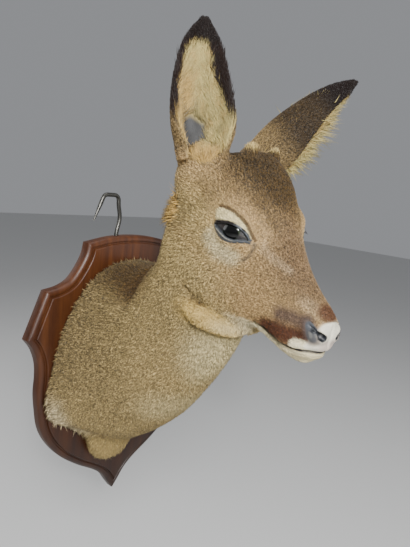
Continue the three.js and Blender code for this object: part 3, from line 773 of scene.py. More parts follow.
def markEyes(lay, q, s):
    for side in (-1, 1):
        l = inEye(q, side)
        edge = lidEdge(l)
        near = step(0, 3, l[:, 2]) * (np.abs(l[:, 0]) < 24)
        lower = step(0.5, -0.5, l[:, 1] - between(l[:, 0], eye["opening"]).mean(0))
        wide = between(l[:, 0], eye["lowerLid"])
        lay("lid", near * lower * step(0.8, -0.6, edge - wide), 0, 1)
        lay("lid", near * (1 - lower) * step(1.9, 1.1, edge), 0, 1)
        lay("lidDark", near * (1 - lower) * step(2.6, 1.6, edge) * step(5, -3, l[:, 0]) * 0.95, 0, 1)
        # painted highlight along the wet lower lid edge
        lay("lidLight", near * lower * step(0.7, 0.25, np.abs(edge - 0.5)) * step(10, 0, l[:, 0]) * 0.7)
        lay("lidDark", near * step(-0.3, -0.9, edge) * 0.8)
    lay("lid", stroke("duct", s), 0, 0.3)
    lay("lidDark", stroke("ductDark", s))


def markEar(lay, p, name):
    a, angle, height, half, on = earMasks(p, name)
    outer = on * step(-0.6, 0.6, height)
    inner = on * (1 - step(-0.6, 0.6, height))
    lay("earBackLow", outer, 0.9)
    lay("earBack", outer * step(0.15, 0.4, a), 0.9)
    lay("earIn", inner, 0.12)
    lay("earInWarm", inner * step(0.1, -0.5, angle) * step(0.72, 0.45, a) * 0.8)
    lay("earInWarm", inner * step(0.10, 0.0, a))
    clumps = np.sin(a * 31 + angle * 2.2) * np.sin(angle * 6.5 - a * 13) + 0.5 * np.sin(a * 67 - angle * 9)
    lay("earInWarm", inner * step(0.1, 0.9, clumps) * 0.55, 0.3)
    side = half - np.abs(angle)
    if name == "right":
        bald = inner * earPatch(a, angle)
        lay("earBare", bald, 0, 0.55)
        # painted highlight: a streak of shine across the bare patch
        shine = step(0.16, 0.04, np.abs(angle + 0.62 - (a - 0.2)))
        lay("earBareLight", bald * shine * step(0.36, 0.28, a) * 0.7)
        front, back = 0.16 + 0.26 * step(0.28, 0.62, a), 0.13 + 0.1 * step(0.6, 0.85, a)
        rim = np.where(angle > 0, front, back)
        lay("earRim", on * step(rim + 0.08, rim - 0.06, side) * step(0.18, 0.34, a), 0.2)
    else:
        lay("earRim", outer * step(0.30, 0.12, side) * step(0.66, 0.8, a) * 0.8, 0.2)
    lay("earTip", outer * step(0.55, 0.8, a), 0.3)
    lay("earTip", on * step(0.77, 0.86, a), 0.2)


def markings(p):  # colour with its painted shade and highlights, how grizzled and how bare the skin is at each point
    q = toHead(p)
    s = bothSides(q)
    colour = np.tile(tones["body"], (len(p), 1))
    grizzle = np.full(len(p), 0.75)
    bare = np.zeros(len(p))

    def lay(tone, mask, speckle=None, skin=None):
        m = mask[:, None]
        colour[:] = colour * (1 - m) + tones[tone] * m
        for target, value in ((grizzle, speckle), (bare, skin)):
            if value is not None:
                target[:] = target * (1 - mask) + value * mask

    markBody(lay, p, np.degrees(neckPlace(p)[1]))
    markHead(lay, s, step(-12, 12, neckField(p) - headField(q)))
    markMuzzle(lay, q, s)
    markEyes(lay, q, s)
    for name in ("right", "left"):
        markEar(lay, p, name)
    return colour, grizzle, bare


hideColour, _, hideBare = markings(hidePoints)


# Shader groups shared by several materials
def newGroup(name, inputs, outputs):
    group = bpy.data.node_groups.new(name, "ShaderNodeTree")
    for label, kind, value in inputs:
        socket = group.interface.new_socket(label, in_out="INPUT", socket_type=kind)
        if value is not None:
            socket.default_value = value
    for label, kind in outputs:
        group.interface.new_socket(label, in_out="OUTPUT", socket_type=kind)
    return group, group.nodes.new("NodeGroupInput"), group.nodes.new("NodeGroupOutput")


def plug(tree, node, values):  # sets or links a node's sockets, by name or by number
    for key, value in values.items():
        numbered = key[0] == "i" and key[1:].isdigit()
        socket = node.inputs[int(key[1:]) if numbered else key.replace("_", " ")]
        if isinstance(value, bpy.types.NodeSocket):
            tree.links.new(value, socket)
        else:
            socket.default_value = value


def addNode(tree, kind, settings=None, **values):
    node = tree.nodes.new(kind)
    for key, value in (settings or {}).items():
        setattr(node, key, value)
    plug(tree, node, values)
    return node


def maths(tree, operation, *values):
    numbered = {f"i{n}": value for n, value in enumerate(values)}
    return addNode(tree, "ShaderNodeMath", {"operation": operation}, **numbered).outputs[0]


def remap(tree, value, start, end, low, high):  # start to end becomes low to high
    return addNode(tree, "ShaderNodeMapRange", i0=value, i1=start, i2=end, i3=low, i4=high).outputs[0]


def objectPlace(tree):
    return addNode(tree, "ShaderNodeTexCoord").outputs["Object"]


def attribute(tree, name, output="Fac"):
    return addNode(tree, "ShaderNodeAttribute", {"attribute_name": name}).outputs[output]


def noise(tree, vector, scale, detail, rough=0.5, output=0):
    node = addNode(tree, "ShaderNodeTexNoise", Vector=vector, Scale=scale, Detail=detail, Roughness=rough)
    return node.outputs[output]


def vectorMaths(tree, operation, output=0, **values):
    return addNode(tree, "ShaderNodeVectorMath", {"operation": operation}, **values).outputs[output]


def addRamp(tree, factor, stops):
    ramp = addNode(tree, "ShaderNodeValToRGB", i0=factor)
    elements = ramp.color_ramp.elements
    while len(elements) < len(stops):
        elements.new(0.5)
    for element, (at, tone) in zip(elements, stops):
        element.position = at
        element.color = (*paint(*tone), 1)
    return ramp.outputs[0]


def mottleGroup():  # a soft and a fine noise, put out as one factor around 1 and a height
    group, source, out = newGroup("mottle", [
        ("Vector", "NodeSocketVector", None), ("Soft scale", "NodeSocketFloat", 60.0),
        ("Fine scale", "NodeSocketFloat", 900.0), ("Amount", "NodeSocketFloat", 0.3),
    ], [("Factor", "NodeSocketFloat"), ("Height", "NodeSocketFloat")])
    given = source.outputs
    soft = noise(group, given["Vector"], given["Soft scale"], 3.0)
    fine = noise(group, given["Vector"], given["Fine scale"], 2.0)
    centred = maths(group, "SUBTRACT", maths(group, "ADD", soft, fine), 1.0)
    scaled = maths(group, "MULTIPLY_ADD", centred, given["Amount"], 1.0)
    plug(group, out, {"Factor": scaled, "Height": fine})
    return group


mottle = mottleGroup()


def newMaterial(name):
    material = bpy.data.materials.new(name)
    material.use_nodes = True
    tree = material.node_tree
    return material, tree, tree.nodes["Principled BSDF"]


def addMottle(tree, vector, soft, fine, amount):
    node = addNode(tree, "ShaderNodeGroup", {"node_tree": mottle}, Vector=vector, Soft_scale=soft,
                   Fine_scale=fine, Amount=amount)
    return node.outputs["Factor"], node.outputs["Height"]


def scaledColour(tree, colour, factor):
    return vectorMaths(tree, "SCALE", i0=colour, Scale=factor)


def addBump(tree, shader, height, strength, distance):
    bump = addNode(tree, "ShaderNodeBump", Strength=strength, Distance=distance, Height=height)
    plug(tree, shader, {"Normal": bump.outputs[0]})


finishes = {  # mottle: soft and fine scale, amount; roughness from and to; bump: strength and depth
    "hide": {"mottle": (130.0, 1100.0, 0.45), "rough": (0.9, 0.42), "bump": (0.5, 0.0006),
             "sockets": {"Specular IOR Level": 0.35}},
    "coat": {"mottle": (90.0, 1500.0, 0.35), "rough": (0.62, 0.86),
             "tickScale": 720.0, "ticks": (0.37, 0.63, 0.34, 1.6),
             "sockets": {"Specular IOR Level": 0.12, "Sheen Weight": 0.05, "Sheen Roughness": 0.5}},
    "eye": {"fibres": (0.3, 0.7, 0.55, 1.5), "sockets": {
        "Roughness": 0.12, "Specular IOR Level": 0.25, "Coat Weight": 0.6, "Coat Roughness": 0.02}},
    "wood": {"mottle": (500.0, 1900.0, 0.35), "rough": (0.34, 0.52), "bump": (0.25, 0.0004),
             # heightShade is painted shade: darker towards the bottom, lighter towards the top
             "drift": 22.0, "bands": 120.0, "heightShade": (-0.14, 0.13, 0.35, 1.15),
             "stops": [(0.28, (44, 21, 8)), (0.44, (58, 29, 11)), (0.60, (70, 37, 14)),
                       (0.78, (84, 47, 20))],
             "sockets": {"Specular IOR Level": 0.3, "Coat Weight": 0.1, "Coat Roughness": 0.3}},
    "steel": {"mottle": (300.0, 2600.0, 0.4), "rough": (0.28, 0.5), "bump": (0.08, 0.0001),
              "colour": (84, 83, 79), "sockets": {"Metallic": 1.0}},
}


def finishShader(tree, shader, spec, colour, roughness=None):
    plug(tree, shader, {"Base Color": colour, **spec["sockets"]})
    if roughness is not None:
        plug(tree, shader, {"Roughness": remap(tree, roughness, 0.0, 1.0, *spec["rough"])})


def hideMaterial():
    spec = finishes["hide"]
    material, tree, shader = newMaterial("hide")
    factor, height = addMottle(tree, objectPlace(tree), *spec["mottle"])
    addBump(tree, shader, height, *spec["bump"])
    colour = scaledColour(tree, attribute(tree, "coat", "Color"), factor)
    finishShader(tree, shader, spec, colour, attribute(tree, "bare"))
    return material


def coatMaterial():
    spec = finishes["coat"]
    material, tree, shader = newMaterial("coat")
    place = objectPlace(tree)
    factor, height = addMottle(tree, place, *spec["mottle"])
    ticks = noise(tree, place, spec["tickScale"], 1.0)
    amount = maths(tree, "SUBTRACT", remap(tree, ticks, *spec["ticks"]), 1.0)
    banded = maths(tree, "MULTIPLY_ADD", amount, attribute(tree, "ticked"), factor)
    finishShader(tree, shader, spec, scaledColour(tree, attribute(tree, "coat", "Color"), banded), height)
    return material


def addObject(name, data):
    piece = bpy.data.objects.new(name, data)
    bpy.context.scene.collection.objects.link(piece)
    return piece


def newPiece(name, points, faces, material, replaced=()):
    mesh = bpy.data.meshes.new(name)
    mesh.vertices.add(len(points))
    mesh.vertices.foreach_set("co", (np.asarray(points) * mm).astype(np.float32).ravel())
    faces = np.asarray(faces)
    mesh.loops.add(faces.size)
    mesh.polygons.add(len(faces))
    mesh.loops.foreach_set("vertex_index", faces.astype(np.int32).ravel())
    mesh.polygons.foreach_set("loop_start", np.arange(0, faces.size, faces.shape[1], dtype=np.int32))
    mesh.update(calc_edges=True)
    mesh.polygons.foreach_set("use_smooth", np.full(len(faces), True))
    mesh.materials.append(material)
    piece = addObject(name, mesh)
    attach(piece, "root")
    if replaced:
        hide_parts(*replaced)
    return piece


def putColour(piece, colour, name="coat"):
    layer = piece.data.color_attributes.new(name, "FLOAT_COLOR", "POINT")
    rgba = np.ones((len(colour), 4), np.float32)
    rgba[:, :3] = colour
    layer.data.foreach_set("color", rgba.ravel())


def putValue(piece, value, name):
    layer = piece.data.attributes.new(name, "FLOAT", "POINT")
    layer.data.foreach_set("value", value.astype(np.float32))


flesh = ("head", "lower_jaw", "nose_pad", "neck", "shoulders", "ear_left", "ear_right")
hide = newPiece("hide", hidePoints, hideFaces, hideMaterial(), flesh)
putColour(hide, hideColour * (1 - 0.25 * (1 - hideBare[:, None])))
putValue(hide, hideBare, "bare")

coatPieces = {  # how many locks a piece, how many pieces, the locks' width and how much they stray
    "face": {"locks": 19500, "pieces": 3, "width": (0.38, 0.62), "stray": 0.26},
    "neck": {"locks": 19500, "pieces": 3, "width": (0.52, 0.84), "stray": 0.26},
    "earRight": {"locks": 15000, "pieces": 1, "width": (0.35, 0.6), "stray": 0.22},
    "earLeft": {"locks": 13000, "pieces": 1, "width": (0.35, 0.6), "stray": 0.22},
}
faceLocks = {  # along the head: how dense they grow, how wide and how long they are
    "density": {-90: 0.75, -30: 0.95, 10: 1.15, 50: 1.5, 95: 2.2},
    "width": {-90: 1.2, 0: 1.0, 60: 0.8, 95: 0.6},
    "length": {-110: 9, -70: 7.5, -30: 5.5, 10: 4.4, 50: 3.2, 75: 2.4, 95: 1.6},
}
patchSize = 0.003  # a lock's patch on the unwrap
coat = coatMaterial()


def faceTable():
    corners = hidePoints[hideFaces]
    middle = corners.mean(1)
    normal = np.cross(corners[:, 1] - corners[:, 0], corners[:, 2] - corners[:, 0])
    area = np.linalg.norm(normal, axis=1) / 2
    return corners, middle, area, step(-12, 12, neckField(middle) - headField(toHead(middle)))


corners, faceMiddle, faceArea, faceOnHead = faceTable()
faceBare = hideBare[hideFaces].mean(1)
onEar = {}
for earName in ("right", "left"):
    onLeaf = (earField(faceMiddle, earName) < 1.6) & (inEar(faceMiddle, earName)[0] > 0.05)
    onEar[earName] = onLeaf | (earHollow(faceMiddle, earName) < 2)
onAnyEar = onEar["right"] | onEar["left"]
offBoard = faceMiddle[:, 1] < neck["back"] - 0.6
regions = {
    "face": (faceOnHead >= 0.5) & ~onAnyEar, "neck": (faceOnHead < 0.5) & ~onAnyEar & offBoard,
    "earRight": onEar["right"], "earLeft": onEar["left"],
}


def rootsOn(region, count, draw):
    weight = faceArea * regions[region] * (faceBare < 0.45)
    if region == "face":
        weight = weight * between(toHead(faceMiddle)[:, 0], faceLocks["density"])
    chosen = draw.choice(len(weight), count, p=weight / weight.sum())
    a, b = draw.random((2, count))
    flip = a + b > 1
    a[flip], b[flip] = 1 - a[flip], 1 - b[flip]
    c = corners[chosen]
    return c[:, 0] + a[:, None] * (c[:, 1] - c[:, 0]) + b[:, None] * (c[:, 2] - c[:, 0])


def lieOnHide(p, region):  # which way the coat lies, how long it is and how high its tips stand
    q = toHead(p)
    depth = coatDepth(p, q)
    _, turn = neckPlace(p)
    down = np.stack([np.zeros(len(p)), np.cos(turn), -np.sin(turn)], 1)
    down = down + np.array([0, 0, -0.45]) * step(70, 10, np.degrees(turn))[:, None]
    s = bothSides(q)
    back = np.tile([-1.0, 0, 0], (len(p), 1))
    back[:, 2] = -0.55 * step(0, -40, q[:, 2]) * step(60, 0, q[:, 0]) + 0.25 * step(10, 45, q[:, 2])
    fromEye = unitRows(s - np.array(eye["centre"]))
    fromEye[:, 1] *= np.sign(q[:, 1])
    back = back + 1.1 * fromEye * blob(s, eye["centre"], (32, 30, 30), 0.4)[:, None]
    back = unitRows(back) @ headTurn
    w = step(-16, 16, neckField(p) - headField(q))[:, None]
    lie = down * (1 - w) + back * w
    length = between(q[:, 0], faceLocks["length"])
    length = np.where(q[:, 2] < -78, np.maximum(length, 7), length)
    creases = np.minimum(lineDistance(s, folds["brow"][0])[0], lineDistance(s, folds["jaw"][0])[0])
    length = length * (0.4 + 0.6 * step(1, 6, creases))
    depth = depth * (1 - 0.45 * step(0, 25, q[:, 2]) * w[:, 0])
    if region == "neck":
        length = 5.6 + 1.8 * step(50, 5, np.degrees(turn))
    return lie, length, depth


def lieOnEar(p, name):
    _, along, across, face = earAxes(name)
    a, angle, height, half, curl = inEar(p, name)
    radial = np.stack([np.sin(angle), -np.cos(angle)], 1)
    around = radial[:, 1:2] * -across + radial[:, :1] * face  # the way the angle grows
    inner = height < 0
    rim = step(0.5, 0.08, half - np.abs(angle)) * np.sign(angle)
    toMiddle = -np.sign(angle) * step(0.05, 0.3, np.abs(angle))
    if name == "right":
        turnIn = np.where(inner, toMiddle * 0.5 * step(0.95, 0.4, a) + rim * 0.35, rim * 0.25)
    else:  # its front edge carries a long fringe
        turnIn = np.where(inner, toMiddle * 0.3 + rim * 1.3, rim * 0.4)
    lie = along + around * turnIn[:, None]
    length = np.where(inner, 9.5 * step(1.0, 0.6, a) + 2.5, 2.6 + 2.4 * step(0.9, 0.3, a))
    if name == "left":
        length = length + inner * 5 * step(0.5, 0.1, half - np.abs(angle)) * step(0.95, 0.75, a)
    depth = np.where(inner, 3.6 * step(1.0, 0.7, a) + 0.8, 1.5)
    return lie, length, depth


def lockFaces(count):  # a base cap, three sides up to the middle ring and three up to the tip
    pattern = [(0, 2, 1)]
    for k in range(3):
        a, b = k, (k + 1) % 3
        pattern += [(a, b, b + 3), (a, b + 3, a + 3), (a + 3, b + 3, 6)]
    return (np.arange(count)[:, None, None] * 7 + np.array(pattern)[None]).reshape(-1, 3)


def lockPatch():  # a lock's faces on its patch of the unwrap
    u, v = [np.zeros(3)], [np.zeros(3)]
    for k in range(3):
        u0, u1, middle = k / 3, (k + 1) / 3, (k + 0.5) / 3
        u += [np.array([u0, u1, u1]), np.array([u0, u1, u0]), np.array([u0, u1, middle])]
        v += [np.array([0, 0, 0.5]), np.array([0, 0.5, 0.5]), np.array([0.5, 0.5, 1])]
    return np.stack([np.array(u), np.array(v)], -1) * patchSize


def putUnwrap(piece, corner):
    uv = piece.data.uv_layers.new(name="OFBake")
    uv.data.foreach_set("uv", corner.astype(np.float32).ravel())


def lockMesh(name, roots, lie, length, low, high, width, root, middle, tip, ticked, unwrap):
    count = len(roots)
    normal = sampleSlope(roots)
    roots = atHeight(roots, np.full(count, -0.25), 1)
    lie = unitRows(lie - normal * np.sum(lie * normal, 1)[:, None])
    halfway = atHeight(roots + lie * (length * 0.5)[:, None] + normal * low[:, None], low, 1)
    end = atHeight(roots + lie * length[:, None] + normal * high[:, None], high, 2)
    side = np.cross(normal, lie)
    rings = []
    for centre, wide, thick in ((roots, 0.8, 0.30), (halfway, 1.0, 0.34)):
        half = side * (width * wide / 2)[:, None]
        rise = normal * (width * thick)[:, None]
        rings += [centre - half, centre + half, centre + rise]
    points = np.stack(rings + [end], 1)
    points[:, :, 1] = np.minimum(points[:, :, 1], neck["back"] - 0.35)
    piece = newPiece(name, points.reshape(-1, 3), lockFaces(count), coat)
    putColour(piece, np.stack([root] * 3 + [middle] * 3 + [tip], 1).reshape(-1, 3))
    putValue(piece, np.repeat(ticked, 7), "ticked")
    putUnwrap(piece, unwrap[:, None, None, :] + lockPatch()[None])
    return piece


def unwrapOf(p, region):  # the skin cut open and laid flat, from 0 to 1 each way
    if region in ("earRight", "earLeft"):
        a, angle, height, half, _ = inEar(p, region[3:].lower())
        v = 0.5 + 0.5 * np.clip(angle / (half + 0.2), -1, 1)
        flat = np.stack([a, np.where(height < 0, 0.5 + v * 0.49, v * 0.49)], 1)
    elif region == "face":
        q = toHead(p)
        around = np.arctan2(q[:, 1], q[:, 2] + 22)
        flat = np.stack([(q[:, 0] + 105) / 210, 0.5 + around / (2 * math.pi)], 1)
    else:
        r, turn = neckPlace(p)
        inner, outer, _, middle, share = between(np.degrees(turn), neck["stations"])
        level = inner + (outer - inner) * share
        around = np.arctan2(p[:, 0] - middle, level - r)
        flat = np.stack([(np.degrees(turn) + 12) / 100, 0.5 + around / (2 * math.pi)], 1)
    return np.clip(flat, 0, 1) * (1 - 4 * patchSize) + patchSize


def growCoat(region, number, draw):
    spec = coatPieces[region]
    count = int(spec["locks"] * (1))
    roots = rootsOn(region, count, draw)
    if region.startswith("ear"):
        lie, length, depth = lieOnEar(roots, region[3:].lower())
    else:
        lie, length, depth = lieOnHide(roots, region)
    lie = unitRows(lie) + draw.normal(0, spec["stray"], (count, 3))
    length = length * draw.uniform(0.65, 1.25, count)
    high = depth * draw.uniform(0.25, 0.95, count)
    low = np.minimum(high * 0.6, 1.4) + 0.12
    width = draw.uniform(*spec["width"], count)
    if region == "face":
        width = width * between(toHead(roots)[:, 0], faceLocks["width"])
    colour, grizzle, bare = markings(roots)
    keep = bare < 0.35
    shade = draw.normal(1, 0.10, count)[:, None] * colour
    pale = (draw.random(count) < 0.5)[:, None]
    spread = grizzle[:, None] * draw.uniform(0.4, 1, count)[:, None]
    root = shade * (1 - 0.35 * grizzle[:, None])
    middle = shade
    tip = np.where(pale, shade * (1 + 0.22 * spread), shade * (1 - 0.4 * spread))
    parts = [v[keep] for v in (roots, lie, length, low, high, width, root, middle, tip, grizzle)]
    piece = lockMesh(f"coat_{region}_{number}", *parts, unwrapOf(roots[keep], region))


draw = np.random.default_rng(11)
for region, spec in coatPieces.items():
    for number in range(spec["pieces"]):
        growCoat(region, number, draw)
    print("coat on", region)


def pickRoots(weight, count, jitter, draw):
    chosen = draw.choice(len(weight), count, p=weight / weight.sum())
    return faceMiddle[chosen] + draw.normal(0, jitter, (count, 3))


fringes = {  # lift is the height halfway, dark the shade at the root
    "edge": {"locks": 3200, "jitter": 0.6, "length": (9, 17), "high": (1.0, 5.0), "width": (0.7, 1.1),
             "lift": 0.6, "dark": 0.75, "ticked": 0.3},
    "ear": {"locks": 4200, "jitter": 0.4, "length": (13, 25), "high": (2, 9), "width": (0.4, 0.7),
            "lift": 0.5, "dark": 0.7, "ticked": 0.2},
    "tuft": {"jitter": 0.5, "width": (0.55, 0.9), "lift": 0.55, "dark": 0.6, "ticked": 0.3},
}


def growLocks(name, spec, roots, lie, length, high, width, shade, region):
    return lockMesh(name, roots, lie, length, high * spec["lift"], high, width,
                    shade * spec["dark"], shade, shade * 1.1,
                    np.full(len(roots), spec["ticked"]), unwrapOf(roots, region))


def edgeFringe(draw):  # longer pale hair that spreads over the board along the hide's lower edge
    spec = fringes["edge"]
    count = spec["locks"]
    low = step(15, -25, faceMiddle[:, 2])
    weight = faceArea * regions["neck"] * step(-34, -20, faceMiddle[:, 1]) * (0.10 + low)
    roots = pickRoots(weight, count, spec["jitter"], draw)
    away = roots * [1, 0, 1] - np.array([0, 0, 25.0])
    lie = unitRows(away) * [1, 0, 1] + np.array([0, 0.55, -0.35]) + draw.normal(0, 0.2, roots.shape)
    length = draw.uniform(*spec["length"], count) * (0.5 + 0.5 * step(15, -25, roots[:, 2]))
    high = draw.uniform(*spec["high"], count)
    shade = markings(roots)[0] * draw.normal(1.03, 0.09, count)[:, None]
    width = draw.uniform(*spec["width"], count)
    piece = growLocks("coat_edge", spec, roots, lie, length, high, width, shade, "neck")


edgeFringe(draw)

tufts = {
    "nape": {"at": (-76, -40, -18), "reach": 14, "locks": 420, "way": (-0.57, -0.75, -0.6),
             "length": (8, 15), "high": (2.5, 7.5), "tone": "nape", "on": "neck"},
    "bumpRight": {"at": (-40, -12.5, 56), "reach": 8, "locks": 200, "way": (-0.6, -0.2, 0.9),
                  "length": (4, 8), "high": (1.5, 4.5), "tone": "pedicle", "on": "face"},
    "bumpLeft": {"at": (-40, 12.5, 56), "reach": 7, "locks": 150, "way": (-0.6, 0.5, 0.7),
                 "length": (4, 7), "high": (1.0, 3.5), "tone": "pedicle", "on": "face"},
}


def growTuft(name, draw):
    spec, shape = tufts[name], fringes["tuft"]
    count = spec["locks"]
    near = np.linalg.norm(faceMiddle - fromHead(spec["at"]), axis=1)
    weight = faceArea * (near < spec["reach"]) * np.exp(-(near / spec["reach"]) ** 2 * 1.5)
    roots = pickRoots(weight, count, shape["jitter"], draw)
    lie = unitRows(np.array(spec["way"]) @ headTurn + draw.normal(0, 0.25, roots.shape))
    high = draw.uniform(*spec["high"], count)
    shade = tones[spec["tone"]] * draw.normal(1, 0.12, count)[:, None]
    length = draw.uniform(*spec["length"], count)
    width = draw.uniform(*shape["width"], count)
    piece = growLocks(f"coat_{name}", shape, roots, lie, length, high, width, shade, spec["on"])


for name in tufts:
    growTuft(name, draw)


def earFringe(draw):  # the wool that stands out past the left ear's near edge
    spec = fringes["ear"]
    count = spec["locks"]
    a, angle, height, half, _ = inEar(faceMiddle, "left")
    rim = onEar["left"] * (height < 0) * (half - np.abs(angle) < 0.3)
    weight = faceArea * rim * step(0.02, 0.12, a) * step(0.73, 0.64, a)
    roots = pickRoots(weight, count, spec["jitter"], draw)
    _, along, _, face = earAxes("left")
    lie = unitRows(along * 0.55 + face * 1.0 + draw.normal(0, 0.22, roots.shape))
    share = inEar(roots, "left")[0]
    full = step(0.86, 0.5, share) * step(-0.1, 0.25, share)
    length = draw.uniform(*spec["length"], count) * (0.35 + 0.65 * full)
    high = draw.uniform(*spec["high"], count) * (0.2 + 0.8 * full)
    shade = tones["earIn"] * draw.normal(1, 0.1, count)[:, None]
    width = draw.uniform(*spec["width"], count)
    piece = growLocks("coat_earFringe", spec, roots, lie, length, high, width, shade, "earLeft")


earFringe(draw)


lashShape = {
    "each": 55, "span": (-14.5, 9), "length": (3.0, 5.5), "width": 0.28, "droop": (0, -0.15, -0.5),
}


def lashes(draw):
    points, ways = [], []
    for side in (-1, 1):
        along = draw.uniform(*lashShape["span"], lashShape["each"])
        l = np.stack([along, between(along, eye["opening"])[0] + 0.7, np.full(len(along), 20.0)], 1)
        for _ in range(25):  # down onto the lid's edge
            f = ellipsoid(l, (0, 0, 0), eye["lidShell"])
            l[:, 2] -= np.clip(f - 0.4, -1, 1)
        out = unitRows(l) + np.array([0, 0.12, 0]) + np.outer(along / 30, [1, 0, 0])
        turn = eyeAxes(side)
        points.append(fromHead(l @ turn + np.array(eye["centre"]) * [1, side, 1]))
        ways.append(out @ turn @ headTurn)
    roots = np.concatenate(points)
    count = len(roots)
    way = unitRows(unitRows(np.concatenate(ways)) + draw.normal(0, 0.08, (count, 3)))
    length = draw.uniform(*lashShape["length"], count)[:, None]
    droop, width = np.array(lashShape["droop"]), lashShape["width"]
    side = unitRows(np.cross(way, [0, 0, 1.0]))
    rise = np.cross(side, way)
    rings = []
    for centre in (roots - way * 0.8, roots + way * (length * 0.5) + droop * 0.6):
        rings += [centre - side * width / 2, centre + side * width / 2, centre + rise * width * 0.7]
    mesh = np.stack(rings + [roots + way * (length * 0.9) + droop * 3.4], 1).reshape(-1, 3)
    piece = newPiece("lashes", mesh, lockFaces(count)[:, [0, 2, 1]], coat)
    putColour(piece, np.tile(tones["lidDark"], (len(mesh), 1)))
    putValue(piece, np.zeros(len(mesh)), "ticked")
    putUnwrap(piece, np.repeat(unwrapOf(roots, "face"), 30, 0))


lashes(draw)
print("coat done")

iris = {
    "pupil": (0.50, 0.40), "pupilEdge": (0.92, 1.08, 0.015, 1.0), "rings": 40, "steps": 64, "gap": 0.25,
    "stops": [(0.0, (58, 58, 36)), (0.55, (38, 46, 34)), (0.72, (38, 46, 34)), (0.765, (96, 90, 62)),
              (0.80, (30, 33, 36)), (0.9, (30, 33, 36))],
    "cornea": (0.035, 0.7, 0.1),  # how much it stands out, and where its dome fades
}


def eyeMaterial():
    spec = finishes["eye"]
    material, tree, shader = newMaterial("eye")
    gaze = attribute(tree, "gaze", "Vector")
    parts = addNode(tree, "ShaderNodeSeparateXYZ", Vector=gaze)

    def reach(x, y):  # distance from the gaze's axis, wider along one way
        across, up = (maths(tree, "DIVIDE", parts.outputs[n], by) for n, by in ((0, x), (1, y)))
        scaled = addNode(tree, "ShaderNodeCombineXYZ", i0=across, i1=up).outputs[0]
        return vectorMaths(tree, "LENGTH", "Value", i0=scaled)

    fibres = noise(tree, gaze, 9.0, 6.0, 0.7)
    ramp = addRamp(tree, reach(1, 1), iris["stops"])
    toned = scaledColour(tree, ramp, remap(tree, fibres, *spec["fibres"]))
    pupil = remap(tree, reach(*iris["pupil"]), *iris["pupilEdge"])
    finishShader(tree, shader, spec, scaledColour(tree, toned, pupil))
    return material


def eyeball(side, material):  # a ball with the cornea's low dome at its outer pole
    rings, steps = iris["rings"], iris["steps"]
    lat = np.linspace(0, math.pi, rings + 1)[1:-1]
    lon = np.arange(steps) * 2 * math.pi / steps
    a, b = np.stack(np.meshgrid(lat, lon, indexing="ij"), -1).reshape(-1, 2).T
    local = np.stack([np.sin(a) * np.cos(b), np.sin(a) * np.sin(b), np.cos(a)], 1)
    local = np.concatenate([local, [[0, 0, 1], [0, 0, -1]]])
    more, fade, full = iris["cornea"]
    dome = step(fade, full, np.hypot(local[:, 0], local[:, 1])) * (local[:, 2] > 0)
    radius = (eye["radius"] - iris["gap"]) * (1 + more * dome)
    points = fromHead((local * radius[:, None]) @ eyeAxes(side) + np.array(eye["centre"]) * [1, side, 1])
    faces = []
    for i in range(rings - 2):
        for j in range(steps):
            a, b = i * steps + j, i * steps + (j + 1) % steps
            faces += [(a, a + steps, b + steps), (a, b + steps, b)]
    last = (rings - 2) * steps
    for j in range(steps):
        k = (j + 1) % steps
        faces += [(len(local) - 2, j, k), (len(local) - 1, last + k, last + j)]
    faces = np.array(faces)
    if np.linalg.det(eyeAxes(side)) < 0:
        faces = faces[:, ::-1]
    name = "eye_right" if side < 0 else "eye_left"
    piece = newPiece("ball_" + name, points, faces, material, (name,))
    layer = piece.data.attributes.new("gaze", "FLOAT_VECTOR", "POINT")
    layer.data.foreach_set("vector", local.astype(np.float32).ravel())


eyeFinish = eyeMaterial()
for side in (-1, 1):
    eyeball(side, eyeFinish)

board = {
    "front": 13.6, "spans": 8, "groove": (-18.0, 2.7, 5.6, 117.0), "corners": {2, 7, 8, 21},
    "shrink": (0.86, 0.6, 0.3),  # rings inside the flat faces
    "sharp": 28,
    "outline": [
        (0, 147.5), (28, 145.8), (57.5, 140.1), (59.6, 128.6), (66.7, 114.7), (75.9, 102.9), (87.4, 96.6),
        (102.3, 93.4), (120, 46.6), (111.8, 35.8), (106.4, 21.8), (104.9, 7.2), (105.4, -10.4),
        (103.2, -28.9), (99.2, -48.8), (90.3, -66.4), (74.9, -84.7), (52.1, -101.8), (28.2, -116.1),
        (15.3, -126.8), (6.9, -138.4), (0, -147.5),
    ],
    "moulding": [  # inset from the outline, height over the back
        (0.6, 0), (0, 0.6), (0, 8.4), (0.35, 9.2), (1.6, 10.6), (2.6, 11.25), (3.6, 11.6), (4.9, 11.85),
        (5.5, 11.75), (5.9, 11.3), (6.0, 10.8), (6.6, 10.7), (7.2, 10.9), (7.5, 11.9), (7.8, 13.0),
        (8.3, 13.5), (8.8, 13.6),
    ],
}


def boardOutline():  # smooth runs between the corners
    points = np.array(board["outline"], float)
    runs, last = [], 0
    for corner in sorted(board["corners"]):
        run = points[last:corner + 1]
        ahead = 2 * run[0] - run[1]
        if last == 0:
            ahead = run[1] * [-1, 1]
        padded = np.vstack([ahead, run, 2 * run[-1] - run[-2]])
        for i in range(1, len(padded) - 2):
            p0, p1, p2, p3 = padded[i - 1:i + 3]
            t = (np.arange(board["spans"]) / board["spans"])[:, None]
            runs.append(0.5 * (2 * p1 + (p2 - p0) * t + (2 * p0 - 5 * p1 + 4 * p2 - p3) * t ** 2
                               + (3 * p1 - p0 - 3 * p2 + p3) * t ** 3))
        last = corner
    half = np.vstack(runs + [points[-1:]])
    return np.vstack([half, half[1:-1][::-1] * [-1, 1]])


def outward(edges):
    return np.stack([edges[:, 1], -edges[:, 0]], 1) / np.linalg.norm(edges, axis=1)[:, None]


def alongLine(points):
    return np.concatenate([[0], np.cumsum(np.linalg.norm(np.diff(points, axis=0), axis=1))])


def onLine(at, run, points):
    return np.stack([np.interp(at, run, points[:, c]) for c in (0, 1)], 1)


